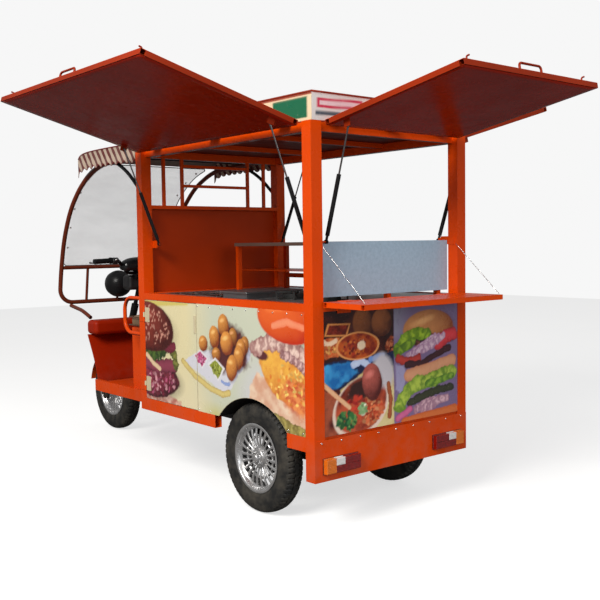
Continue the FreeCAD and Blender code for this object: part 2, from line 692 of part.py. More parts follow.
def steering():
    """The fork, the handlebar with its grips, the nacelle and the mudguard."""
    fork_x = size("fork_x")
    crown_s = 352
    stem = round_bar(steering_axis(crown_s), steering_axis(905), size("stem_radius"))
    lean = Rotation(X_AXIS, -size("rake"))
    crown = Part.makeBox(2 * fork_x + 44, 64, 22, Vector(-fork_x - 22, -32, 0))
    crown = crown.makeFillet(6, crown.Edges)
    crown = placed(crown, Placement(steering_axis(crown_s - 11), lean))
    legs = crown.fuse(stem)
    for side in SIDES:
        leg_x = side * fork_x
        leg = round_bar(steering_axis(-24, leg_x), steering_axis(crown_s + 20, leg_x), size("fork_radius"))
        boot = round_bar(steering_axis(-40, leg_x), steering_axis(170, leg_x), 21)
        legs = legs.fuse(leg).fuse(boot)
    axle_z = size("wheel_radius")
    wheel_ahead = size("front_wheel_ahead")
    axle_end = fork_x + 30
    axle_low, axle_high = at(-axle_end, wheel_ahead, axle_z), at(axle_end, wheel_ahead, axle_z)
    axle = round_bar(axle_low, axle_high, size("axle_radius"))
    clamp = placed(Part.makeBox(104, 60, 50, Vector(-52, -30, 0)), Placement(steering_axis(880), lean))
    fork = legs.fuse(axle).fuse(clamp.makeFillet(8, clamp.Edges)).removeSplitter()
    grip_x = size("grip_x")
    left = [at(105, 2338, 1100), at(190, 2300, 1186), at(grip_x + 5, 2262, 1181)]
    right = [Vector(-point.x, point.y, point.z) for point in left]
    bar = bent_tube(right[::-1] + left, size("bar_radius"), 0, 45)
    node("steering_fork", feature(fork.cut(bar)))

    grip_inner = 245
    sleeves = []
    for points in (left, right):
        line = points[2] - points[1]
        line.normalize()
        start = points[1] + line * (grip_inner - 190)
        end = points[2] - line * 2
        sleeve = round_bar(start, end, 16.5, size("bar_radius") + size("running"))
        collar = round_bar(start, start + line * 12, 21, size("bar_radius") + size("running"))
        sleeves.append(feature(sleeve.fuse(collar).removeSplitter()))
    runs = lengths(bar, [side * x for side in SIDES for x in (105, 190)])
    node("handlebar", *[feature(run) for run in runs], sleeves[0])
    node("throttle_grip", sleeves[1])

    hood = rounded_box(at(-85, 2455, 985), at(85, 2350, 1085), 24)
    hood = hood.cut(stem).cut(clamp)
    node("steering_nacelle", feature(hood.cut(round_bar(steering_axis(700), steering_axis(905), 14.2))))

    centre = at(0, wheel_ahead, axle_z)
    outer, inner, guard_half = 288, 285.5, 58
    ring = Part.makeCylinder(outer, 2 * guard_half, centre - X_AXIS * guard_half, X_AXIS)
    ring = ring.cut(Part.makeCylinder(inner, 2 * guard_half, centre - X_AXIS * guard_half, X_AXIS))
    lower = Part.makeBox(400, 900, 600, at(-200, wheel_ahead + 330, axle_z - 600 + 60))
    guard = ring.cut(lower)
    stay = round_bar(steering_axis(276), steering_axis(crown_s - 11.5), 12)
    guard = guard.fuse(stay.cut(Part.makeCylinder(inner, 400, centre - X_AXIS * 200, X_AXIS)))
    node("front_mudguard", feature(guard.removeSplitter()))


def headlamp():
    """A round lamp bowl between the windscreen bars, with its domed lens."""
    ahead, z = 2660, 1018
    radius = 92
    bowl = Part.makeSphere(radius, at(0, ahead, z)).common(
        Part.makeBox(400, 400, 400, at(-200, ahead + 40, z - 200)))
    bowl = bowl.cut(Part.makeSphere(radius - 3, at(0, ahead, z)))
    stub = round_bar(at(0, ahead - radius + 1, z), at(0, ahead - radius - 14, z), 14)
    lens = Part.makeSphere(150, at(0, ahead - 82, z)).common(
        Part.makeCylinder(radius - 8, 60, at(0, ahead + 41, z), -Y_AXIS))
    node("headlamp", feature(bowl.fuse(stub).removeSplitter()), feature(lens))


def cab_frame():
    """The windscreen hoop, its cross bars and stays, and the black braces from the front posts."""
    radius = size("cab_tube")
    half = size("cab_half")
    front = size("body_length")
    profile = [(front, 1790), (2080, 1768), (2320, 1668), (2490, 1518), (2598, 1330), (2662, 1110),
               (2694, 905)]
    left = [at(half, ahead, z) for ahead, z in profile]
    right = [Vector(-point.x, point.y, point.z) for point in left]
    points = left + right[::-1]
    hoop = bent_tube(points, radius)
    bends = [ahead for ahead, _ in profile[1:-1]]
    pieces = lengths(hoop.cut(bent_tube(points, radius - 2)), (half - 45, 45 - half), bends)
    taken = [hoop]

    def add(piece):
        for other in taken:
            piece = piece.cut(other)
        pieces.append(max(piece.Solids, key=lambda solid: solid.Volume))
        taken.append(piece)

    add(round_bar(at(-half, 2654, 1138), at(half, 2654, 1138), 12, 10))
    for x in (230, -230):
        add(round_bar(at(x, 2690, 912), at(x, 2655, 1132), 9, 7.5))
    for side in SIDES:
        stay = [at(side * 400, 2290, 828), at(side * 396, 2410, 866), at(side * 350, 2672, 884)]
        add(bent_tube(stay, 12, 2))
    taken.append(Part.makeSphere(92.2, at(0, 2660, 1018)))
    add(round_bar(at(0, 2692, 908), at(0, 2668, 960), 8, 6))
    node("windscreen_frame", *[feature(piece) for piece in pieces])

    braces = []
    for side in SIDES:
        x = side * 470
        brace = bent_tube([at(x, front + 8, 1585), at(x, 1640, 1700), at(x, 1850, 1796)], 10, 1.5)
        braces.append(feature(brace))
    bows = []
    for ahead in (1560, 1860):
        bows.append(round_bar(at(-480, ahead, 1803), at(480, ahead, 1803), 8, 6.5))
    for bow in bows:
        braces.append(feature(bow.cut(hoop).cut(braces[0].Shape).cut(braces[1].Shape)))
    node("canopy_braces", *braces)


def canopy():
    """The sheet over the cab with its drooping front, and the valance that hangs from its edges."""
    half = size("canopy_half")
    front = size("body_length")
    outline = [(front + 2, 1822), (1800, 1826), (2080, 1816), (2230, 1782), (2352, 1722)]
    edge = 3
    deep = 112
    strips = []
    for side in SIDES:
        side_x = side * (half + 0.3 + edge / 2)
        strips.append(strip([(ahead, z + 3) for ahead, z in outline], edge, Vector(0, 0, -deep), side_x))
    sheet = strip(outline, 2 * half, Vector(0, 0, -5))
    node("cab_canopy", feature(sheet), *[feature(item) for item in strips])


def windscreen():
    """The clear sheet ahead of the hoop."""
    clearance = 6
    hoop_line = [(2340, 1682), (2470, 1585), (2560, 1468), (2626, 1330), (2672, 1180), (2694, 1090)]
    outline = [(ahead + size("cab_tube") + clearance, z + clearance) for ahead, z in hoop_line]
    sheet = strip(outline, 2 * size("windscreen_half"), Vector(0, -3.5, 2.5))
    node("windscreen", feature(sheet))


def cab_body():
    """The leg shield with the rounded locker on top, and the seat on its box."""
    half = size("cab_half")
    shield_line = [(2170, 404), (2188, 503), (2242, 623), (2296, 722)]
    node("leg_shield", feature(strip(shield_line, 2 * half, Vector(0, -4, 0))))
    locker = rounded_box(at(-half, 2312, 724), at(half, 2190, 814), 26, 3)
    node("dashboard_locker", feature(locker))

    front = size("body_length")
    floor = size("chassis_high") + size("sheet")
    seat_half = 370
    base = rounded_box(at(-seat_half, front + 330, floor), at(seat_half, front + 3, 798), 10, 2, True)
    node("seat_base", feature(base))
    cushion = rounded_box(at(-seat_half - 12, front + 355, 798.5), at(seat_half + 12, front + 4, 872), 22)
    node("seat_cushion", feature(cushion))


def pedal_pivot():
    """The middle of the brake pedal's pin."""
    return at(-150, 2105, 470)


def pedal_bracket():
    """Two ears on the cab floor with the pin that the brake pedal turns on."""
    pivot = pedal_pivot()
    bracket = round_bar(pivot - X_AXIS * 34, pivot + X_AXIS * 34, 8)
    for side in SIDES:
        ear_x = -150 + side * 27
        bracket = bracket.fuse(Part.makeBox(8, 36, 60, at(ear_x - 4, 2123, 433)))
    return feature(bracket.removeSplitter())


def cab_extras():
    """The brake pedal, the controller under the seat and the battery pack in the body."""
    pivot = pedal_pivot()
    arm = round_bar(pivot + Vector(0, -4, 0), at(-150, 2062, 560), 7)
    hub = round_bar(pivot - X_AXIS * 20, pivot + X_AXIS * 20, 14, 8 + size("running"))
    pad = rounded_box(at(-190, 2068, 548), at(-110, 2054, 598), 4)
    arm = arm.cut(round_bar(pivot - X_AXIS * 25, pivot + X_AXIS * 25, 10))
    node("brake_pedal", feature(hub.fuse(arm).fuse(pad).removeSplitter()))

    low = size("chassis_high") + size("sheet") + 0.2
    controller = Part.makeBox(240, 160, 70, at(-120, 1700, low))
    fins = [Part.makeBox(4, 150, 18, at(-116 + 19 * step, 1695, low + 70)) for step in range(13)]
    whole = controller
    for fin in fins:
        whole = whole.fuse(fin)
    node("motor_controller", feature(whole.removeSplitter()))

    pieces = []
    width, deep, tall = 172, 406, 222
    for step in range(4):
        x = -356 + step * (width + 6)
        case = Part.makeBox(width, deep, tall, at(x, 1310, low))
        case = case.makeFillet(6, [edge for edge in case.Edges if abs(edge.tangentAt(0).z) > 0.9])
        pieces.append(feature(case))
        for offset in (40, width - 40):
            base = at(x + offset, 960, low + tall)
            pieces.append(feature(round_bar(base, base + Z_AXIS * 16, 8)))
    node("battery_pack", *pieces)


def counter():
    """The steel worktop with its cut-outs, and the pans, griddle and burners set into it."""
    counter_ahead = ("rail_width", "body_length - post")
    top = block(("-counter_x", "counter_x"), counter_ahead, ("counter_z", "counter_z + 1.5"))
    notches = []
    for side in SIDES:
        x = mirrored(side, "half_width - post", "half_width")
        notches.append(block(x, ("0", "post"), ("counter_z - 5", "counter_z + 5")))
    pan_starts = (830, 1030, 1210)
    pan_length = 150
    for start in pan_starts:
        notches.append(block(("cooking_in", "cooking_out"), (f"{start}", f"{start + pan_length}"),
                             ("counter_z - 5", "counter_z + 5")))
    node("counter_top", cut(top, *notches))

    steel = size("counter_z") + 1.5
    low_x, high_x = size("cooking_in"), size("cooking_out")
    pans = []
    for start in pan_starts:
        end = start + pan_length
        width = high_x - low_x
        lip = Part.makeBox(width + 16, pan_length + 14, 1.5, at(low_x - 8, end + 7, steel + 0.1))
        bowl = Part.makeBox(width - 4, pan_length - 4, 101, at(low_x + 2, end - 2, steel - 99))
        hollow = Part.makeBox(width - 7, pan_length - 7, 120, at(low_x + 3.5, end - 3.5, steel - 97.5))
        pans.append(feature(lip.fuse(bowl).cut(hollow).removeSplitter()))
    node("serving_pans", *pans)

    plate = rounded_box(at(low_x, 820, steel + 22), at(high_x, 590, steel + 34), 4)
    tray = Part.makeBox(high_x - low_x - 30, 200, 21, at(low_x + 15, 805, steel + 0.5))
    node("griddle", feature(plate), feature(tray))

    burners = []
    for ahead in (200, 430):
        centre = at(240, ahead, steel + 0.3)
        ring = Part.makeCylinder(62, 26, centre).cut(Part.makeCylinder(30, 27, centre))
        drip = Part.makeCylinder(87, 4, centre).cut(Part.makeCylinder(62.2, 5, centre))
        burners.extend([feature(ring), feature(drip)])
        for step in range(4):
            gap = Part.makeBox(70, 10, 30, Vector(18, -5, -2))
            arm = Part.makeBox(78, 8, 38, Vector(20, -4, 0)).cut(gap)
            turn = Placement(centre, Rotation(Z_AXIS, 45 + 90 * step))
            burners.append(feature(placed(arm, turn)))
    node("gas_burners", *burners)


def cabinet():
    """The raised cabinet beside the cooking side: angle-iron frame, side sheets and a pale top board."""
    steel = "counter_z + 1.5"
    tubes = []
    under = "cabinet_top - 19"
    for x in (("-cabinet_out", "-cabinet_out + rib"), ("-cabinet_in - rib", "-cabinet_in")):
        for ahead in (("cabinet_start", "cabinet_start + rib"), ("cabinet_end - rib", "cabinet_end"),
                      ("cabinet_end / 2", "cabinet_end / 2 + rib")):
            tubes.append(square_tube(x, ahead, (steel, under), "z"))
    rail_x = ("-cabinet_out", "-cabinet_out + rib")
    rail_spans = (("cabinet_start + rib", "cabinet_end / 2"), ("cabinet_end / 2 + rib", "cabinet_end - rib"))
    for span in rail_spans:
        tubes.append(square_tube(rail_x, span, ("1078", "1078 + rib"), "y"))
    board = block(("-cabinet_out - 5", "-cabinet_in + 6"), ("cabinet_start - 5", "cabinet_end + 5"),
                  (under, "cabinet_top"))
    shelf_x = ("-cabinet_out + rib", "-cabinet_in - rib")
    shelf = block(shelf_x, ("cabinet_start", "cabinet_end"), ("1130", "1132"))
    node("cabinet_frame", *tubes, shelf)
    node("cabinet_top", board)
    board_thick = ("board_ahead", "board_ahead + 12")
    board = block(("-board_right", "board_left"), board_thick, ("board_low", "cabinet_top"))
    node("rear_board", board)


def flap_place(side):
    """Where a flap's own frame sits: its X runs out from the hinge, its Z up, its Y along the hinge."""
    if side == 0:
        hinge_line = at(0, -size("flap_hinge_out"), size("flap_hinge_z"))
        return Placement(hinge_line, Rotation(X_AXIS, size("rear_flap_angle")).multiply(Rotation(Z_AXIS, 90)))
    hinge_line = at(side * (size("half_width") + size("flap_hinge_out")), 0, size("flap_hinge_z"))
    turn = Rotation(Y_AXIS, -side * size("side_flap_angle"))
    if side < 0:
        turn = turn.multiply(Rotation(Z_AXIS, 180))
    return Placement(hinge_line, turn)


def flap_span(side):
    """The flap's two ends along its own Y axis."""
    if side == 0:
        return -size("rear_flap_half"), size("rear_flap_half")
    near, far = size("flap_margin"), size("body_length") - size("flap_margin")
    return (-far, -near) if side > 0 else (near, far)


def flaps():
    """Three lift-up flaps: a tube frame with ribs, a skin, hinges, a handle, hasps and strut lugs."""
    root = size("flap_root")
    skin_low = -size("flap_skin_top") - size("flap_skin")
    low = skin_low - size("flap_tube")
    fixed_leaves = []
    for side, name in ((1, "left"), (-1, "right"), (0, "rear")):
        place = flap_place(side)
        start, end = flap_span(side)
        rib = size("rib")
        reach = size("flap_reach") if side else size("rear_flap_reach")

        def tube(x1, x2, y1, y2, long_x):
            outer = Part.makeBox(x2 - x1, y2 - y1, size("flap_tube"), Vector(x1, y1, low))
            inset_x = -1 if long_x else 1.5
            inset_y = 1.5 if long_x else -1
            inner = Part.makeBox(x2 - x1 - 2 * inset_x, y2 - y1 - 2 * inset_y, size("flap_tube") - 3,
                                 Vector(x1 + inset_x, y1 + inset_y, low + 1.5))
            return outer.cut(inner)

        tubes = [
            tube(root, root + rib, start, end, False),
            tube(reach - rib, reach, start, end, False),
        ]
        count = 3 if side else 2
        for step in range(count + 1):
            y = start + (end - start - rib) * step / count
            tubes.append(tube(root + rib, reach - rib, y, y + rib, True))
        skin = Part.makeBox(reach - root, end - start, size("flap_skin"), Vector(root, start, skin_low))
        node(name + "_flap_skin", feature(placed(skin, place)))

        hardware = []
        along = Rotation(X_AXIS, 90)
        length = size("hinge_length")
        fixed, moving = hinge(0)
        for share in (0.1, 0.5, 0.9):
            y = start + (end - start) * share + length / 2
            local = Placement(Vector(0, y, 0), along)
            hardware.append(placed(moving, place.multiply(local)))
            fixed_place = Placement(place.Base, Rotation(Z_AXIS, {1: 0, 0: 90, -1: 180}[side]))
            fixed_leaves.append(placed(fixed, fixed_place.multiply(local)))
        top = -size("flap_skin_top")
        middle = (start + end) / 2
        grip = []
        for across, rise in ((-70, 0), (-70, 34), (70, 34), (70, 0)):
            grip.append(Vector(reach - 22, middle + across, top + rise))
        hardware.append(placed(bent_tube(grip, 5, 0, 14), place))
        for y in (start + 60, end - 60):
            plate = Part.makeBox(46, 30, 3, Vector(reach - 70, y - 15, top))
            hook = bent_tube([Vector(reach - 34, y, top + 3), Vector(reach - 34, y, top + 26),
                              Vector(reach - 20, y, top + 26)], 3.5, 0, 9)
            hardware.append(placed(plate.fuse(hook).removeSplitter(), place))
        for lug in strut_lugs(side):
            hardware.append(placed(lug, place))
        frame = [placed(item, place) for item in tubes] + hardware
        node(name + "_flap_frame", *[feature(item) for item in frame])
    return fixed_leaves


def strut_ends(side):
    """For each strut of a flap: its lower pivot, upper pivot and the direction of its pins."""
    place = flap_place(side)
    drop = -size("strut_drop")
    if side == 0:
        low = at(size("rear_strut_x"), size("rear_strut_ahead"), size("strut_low_z"))
        local = Vector(size("rear_strut_reach"), -size("rear_strut_x"), drop)
        return [(low, place.multVec(local), X_AXIS)]
    ends = []
    for ahead, pin in ((size("strut_rear_ahead"), Y_AXIS), (size("strut_front_ahead"), -Y_AXIS)):
        low = at(side * size("side_strut_x"), ahead, size("strut_low_z"))
        local = Vector(size("side_strut_reach"), -side * ahead, drop)
        ends.append((low, place.multVec(local), pin))
    return ends


def strut_lugs(side):
    """The plates under a flap that the struts' upper ends bear against, in the flap's own frame."""
    inverse = flap_place(side).inverse()
    low = -size("flap_skin_top") - size("flap_skin")
    lugs = []
    for _, high, pin in strut_ends(side):
        centre = inverse.multVec(high)
        outward = inverse.Rotation.multVec(pin)
        step = 1 if outward.y > 0 else -1
        first = centre.y + step * 7
        y = min(first, first + step * 4)
        lugs.append(Part.makeBox(36, 4, low - centre.z + 12, Vector(centre.x - 18, y, centre.z - 12)))
    return lugs


def struts():
    """Gas struts: a cylinder on a pin on the post, and a rod with a piston and a ball end."""
    radius, rod_radius = size("strut_radius"), size("rod_radius")
    running = size("running")
    length = size("strut_cylinder")
    ball, neck_radius = 6.4, 5
    sides = ((1, "left", "side_stroke"), (-1, "right", "side_stroke"), (0, "rear", "rear_stroke"))
    for side, name, stroke in sides:
        cylinders, rods = [], []
        for low, high, pin in strut_ends(side):
            line = high - low
            full = line.Length
            line.normalize()
            hole = rod_radius + running
            bore = radius - 1.5
            case = turned(low, line, [
                (6, 0), (6, 6), (28, 6), (28, radius), (30 + length, radius), (30 + length, hole),
                (22 + length, hole), (22 + length, bore), (32, bore), (32, 0),
            ])
            case = case.fuse(round_bar(low - pin * 6, low + pin * 6, 9))
            case = case.cut(round_bar(low - pin * 8, low + pin * 8, rod_radius + running))
            cylinders.append(feature(case))
            foot = 34 + size(stroke)
            neck = full - math.sqrt(ball ** 2 - neck_radius ** 2)
            rod = turned(low, line, [
                (foot, 0), (foot, bore - running), (foot + 10, bore - running), (foot + 10, rod_radius),
                (full - 24, rod_radius), (full - 24, neck_radius), (neck, neck_radius),
            ], ball)
            rods.append(feature(rod))
        node(name + "_strut_cylinder", *cylinders)
        node(name + "_strut_rod", *rods)


def strut_brackets():
    """Arms on the posts with the pins that the struts' lower eyes turn on."""
    brackets = []
    z = size("strut_low_z")
    inner = size("half_width") - size("post")
    pin_radius = size("rod_radius")
    thick = 3
    for side in SIDES:
        for low, _, pin in strut_ends(side):
            ahead = size("rear_face") - low.y
            rearward = 1 if pin.y > 0 else -1
            tab_ahead = ahead - rearward * 9
            post_edge = 20 if rearward > 0 else size("body_length") - 20
            arm_low, arm_high = sorted((post_edge, tab_ahead))
            x_low = side * inner if side < 0 else inner - thick
            arm = Part.makeBox(thick, arm_high - arm_low, 40, at(x_low, arm_high, z - 20))
            tab_x = min(side * (low.x * side - 12), side * inner)
            tab_near = min(tab_ahead, tab_ahead - rearward * thick)
            tab = Part.makeBox(inner - abs(low.x) + 12, thick, 24, at(tab_x, tab_near + thick, z - 12))
            stud = round_bar(low - pin * 8, low + pin * 10, pin_radius)
            bracket = arm.fuse(tab).fuse(stud)
            if side > 0 and rearward > 0:
                rear_low = strut_ends(0)[0][0]
                bracket = bracket.fuse(round_bar(rear_low - X_AXIS * 8, rear_low + X_AXIS * 54, pin_radius))
            brackets.append(bracket.removeSplitter())
    return brackets


def serving_shelf(hinge_leaves):
    """The fold-up shelf behind the body, with its hinges and the two wires that hold it level."""
    out, z = size("shelf_hinge_out"), size("shelf_hinge_z")
    half, depth = size("shelf_half"), size("shelf_depth")
    root, tube = size("shelf_root"), size("shelf_tube")
    top = z + size("knuckle") - size("leaf_sheet")
    sheet = size("shelf_sheet")

    def bar(x1, x2, y1, y2):
        outer = Part.makeBox(x2 - x1, y2 - y1, tube, at(x1, -y1, top - sheet - tube))
        long_x = x2 - x1 > y2 - y1
        in_x, in_y = (-1, 1.5) if long_x else (1.5, -1)
        inner = Part.makeBox(x2 - x1 - 2 * in_x, y2 - y1 - 2 * in_y, tube - 3, at(x1 + in_x, -y1 - in_y,
                                                                                  top - sheet - tube + 1.5))
        return outer.cut(inner)

    near, far = out + root, out + depth
    bars = [bar(-half, half, near, near + tube), bar(-half, half, far - tube, far)]
    for x in (-half, -tube / 2, half - tube):
        bars.append(bar(x, x + tube, near + tube, far - tube))
    plate = Part.makeBox(2 * half, far - near, sheet, at(-half, -near, top - sheet))
    fixed, moving = hinge(90)
    turn = Rotation(Y_AXIS, -90)
    for x in (-320, 0, 320):
        place = Placement(at(x + size("hinge_length") / 2, -out, z), turn)
        hinge_leaves.append(placed(fixed, place))
        bars.append(placed(moving, place))
    node("serving_shelf", *[feature(item) for item in bars], feature(plate))
    wires = []
    for side in SIDES:
        high = at(side * size("wire_x"), 8, size("wire_high"))
        low = at(side * size("wire_x"), -far + 12, top + 4)
        wire = round_bar(high, low, size("wire_radius"))
        for end in (high, low):
            wire = wire.fuse(Part.makeSphere(2.9, end))
        wires.append(feature(wire))
    node("stay_wires", *wires)


def storage_door(hinge_leaves):
    """The door in front of the left side panel: a sheet on a tube frame, hinged on the front post."""
    gap = 2
    near, far = size("door_seam") + gap, size("body_length") - size("post") - gap
    low, high = size("sill_high") + gap, size("rail_low") - gap
    outer = size("half_width")
    sheet = size("sheet")
    rib = 20
    skin = Part.makeBox(sheet, far - near, high - low, at(outer - sheet, far, low))
    frame = []
    for start, end, bottom, top in (
        (near, far, low, low + rib), (near, far, high - rib, high),
        (near, near + rib, low + rib, high - rib), (far - rib, far, low + rib, high - rib),
    ):
        frame.append(Part.makeBox(rib, end - start, top - bottom, at(outer - sheet - rib, end, bottom)))
    latch = rounded_box(at(outer, near + 20, 830), at(outer + 5, near + 4, 920), 2)
    pieces = [skin, *frame, latch]
    fixed, moving = hinge(0)
    turn = Rotation(Vector(1, 1, 0), 180)
    for z in (560, 940):
        place = Placement(at(outer + size("knuckle"), size("body_length") - size("post"), z), turn)
        hinge_leaves.append(placed(fixed, place))
        pieces.append(placed(moving, place))
    node("storage_door", *[feature(item) for item in pieces])


def main():
    chassis()
    body_frame()
    front_wall()
    side_panels()
    rear_panels()
    roof()
    floors()
    wheels()
    rear_axle()
    leaf_springs()
    steering()
    headlamp()
    cab_frame()
    canopy()
    windscreen()
    cab_body()
    cab_extras()
    counter()
    cabinet()
    leaves = flaps()
    struts()
    serving_shelf(leaves)
    storage_door(leaves)
    node("hinges_and_brackets", *[feature(item) for item in leaves + strut_brackets()])


main()
doc.recompute()
os.makedirs("parts", exist_ok=True)
for item in doc.Objects:
    if any(flag in item.State for flag in ("Invalid", "Error")):
        raise RuntimeError(f"{item.Name} ({item.Label}) failed: {item.State}")
for item in nodes:
    if item.Shape.isNull() or not item.Shape.isValid() or not item.Shape.Solids:
        raise RuntimeError(f"no valid shape: {item.Label}")
    item.Shape.exportStep(f"parts/{item.Label}.step")
print(len(nodes), "nodes")
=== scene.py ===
"""Looks for the three-wheeled food vending cart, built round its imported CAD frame.

Row frame, in metres: the cart drives towards -Y, its left is +X, up is +Z, and its wheels stand on Z = 0.
"""

import json
import math

import bmesh
import bpy
import numpy as np
from mathutils import Matrix, Vector


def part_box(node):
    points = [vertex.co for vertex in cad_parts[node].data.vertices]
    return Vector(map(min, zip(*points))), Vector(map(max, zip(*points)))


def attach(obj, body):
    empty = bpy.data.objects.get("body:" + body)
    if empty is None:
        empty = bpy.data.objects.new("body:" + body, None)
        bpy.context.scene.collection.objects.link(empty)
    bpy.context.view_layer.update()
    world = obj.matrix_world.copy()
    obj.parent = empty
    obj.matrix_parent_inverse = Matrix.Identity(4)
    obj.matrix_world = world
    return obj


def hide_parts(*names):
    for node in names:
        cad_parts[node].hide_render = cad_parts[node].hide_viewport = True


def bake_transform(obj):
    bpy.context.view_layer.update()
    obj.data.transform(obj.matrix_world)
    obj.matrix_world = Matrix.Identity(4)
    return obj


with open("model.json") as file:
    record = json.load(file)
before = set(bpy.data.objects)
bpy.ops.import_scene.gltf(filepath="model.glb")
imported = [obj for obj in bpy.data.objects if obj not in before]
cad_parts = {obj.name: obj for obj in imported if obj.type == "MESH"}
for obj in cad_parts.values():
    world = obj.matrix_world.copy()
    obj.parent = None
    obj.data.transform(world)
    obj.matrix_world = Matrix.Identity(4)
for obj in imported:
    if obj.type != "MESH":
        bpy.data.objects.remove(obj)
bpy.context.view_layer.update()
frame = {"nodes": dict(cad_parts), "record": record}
nodes = frame["nodes"]
scene = bpy.context.scene
REAR_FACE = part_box("body_frame")[1].y

# A printed side panel, where the left side's door meets it, and the rear wheel arch's centre with the radius
# of the print's edge round it. Distances ahead are from the body's rear face.
PANEL_LENGTH, PANEL_HEIGHT, PANEL_LOW = 1.430, 0.548, 0.435
DOOR_SEAM = 0.910
ARCH_AHEAD, ARCH_Z, PRINT_ARCH = 0.457, 0.198, 0.3585


# ---------------------------------------------------------------- camera, light, floor

def make_camera():
    """A camera behind and to the left of the cart, a little above its worktop, rolled slightly."""
    yaw, pitch, roll = math.radians(39.593), math.radians(3.684), math.radians(-0.7864)
    ahead = Vector((-math.sin(yaw) * math.cos(pitch), -math.cos(yaw) * math.cos(pitch), -math.sin(pitch)))
    right = ahead.cross(Vector((0, 0, 1))).normalized()
    up = right.cross(ahead)
    right, up = math.cos(roll) * right + math.sin(roll) * up, math.cos(roll) * up - math.sin(roll) * right
    data = bpy.data.cameras.new("camera")
    data.lens = 53.2
    data.clip_end = 60
    camera = bpy.data.objects.new("camera", data)
    scene.collection.objects.link(camera)
    turn = Matrix((right, up, -ahead)).transposed().to_4x4()
    camera.matrix_world = Matrix.Translation((2.9465, 3.9779, 1.2817)) @ turn
    scene.camera = camera


def area_light(name, place, aim, size, power, colour):
    """A square soft light at a place, turned to face its aim."""
    data = bpy.data.lights.new(name, "AREA")
    data.shape = "SQUARE"
    data.size = size
    data.energy = power
    data.color = colour
    light = bpy.data.objects.new(name, data)
    light.location = place
    light.rotation_mode = "QUATERNION"
    light.rotation_quaternion = (Vector(aim) - Vector(place)).to_track_quat("-Z", "Y")
    scene.collection.objects.link(light)


def make_studio():
    """Even daylight from a pale sky, a warm key from the cart's left and a soft fill from behind it."""
    world = bpy.data.worlds.new("studio")
    world.use_nodes = True
    tree = world.node_tree
    seen = tree.nodes.new("ShaderNodeLightPath").outputs["Is Camera Ray"]
    strength = tree.nodes.new("ShaderNodeMapRange")
    strength.inputs["To Min"].default_value = 0.30
    strength.inputs["To Max"].default_value = 0.93
    tree.links.new(seen, strength.inputs["Value"])
    background = tree.nodes["Background"]
    background.inputs["Color"].default_value = (1.0, 1.0, 1.0, 1)
    tree.links.new(strength.outputs["Result"], background.inputs["Strength"])
    scene.world = world
    area_light("key", (6.0, 2.6, 5.2), (0, 0.2, 0.8), 3.0, 560, (1.0, 0.97, 0.92))
    area_light("fill", (1.0, 7.5, 2.6), (0, 0.6, 0.9), 4.0, 150, (0.96, 0.98, 1.0))
    mesh = bpy.data.meshes.new("floor")
    reach = 14
    corners = [(-reach, -reach, 0), (reach, -reach, 0), (reach, reach, 0), (-reach, reach, 0)]
    mesh.from_pydata(corners, [], [(0, 1, 2, 3)])
    floor = bpy.data.objects.new("floor", mesh)
    scene.collection.objects.link(floor)
    paint_floor = Graph("pale_floor")
    seen = paint_floor.add("ShaderNodeLightPath").outputs["Is Camera Ray"]
    mottle = paint_floor.mix(paint_floor.noise(1.2, 4), (0.58, 0.58, 0.58), (0.62, 0.62, 0.62))
    shown = paint_floor.mix(seen, (0.22, 0.22, 0.22), mottle)
    paint_floor.set(base=shown, roughness=0.9, specular=0.0, glow=(1.0, 1.0, 1.0),
                    glow_strength=paint_floor.math("MULTIPLY", seen, 0.62))
    floor.data.materials.append(paint_floor.material)


# ---------------------------------------------------------------- materials

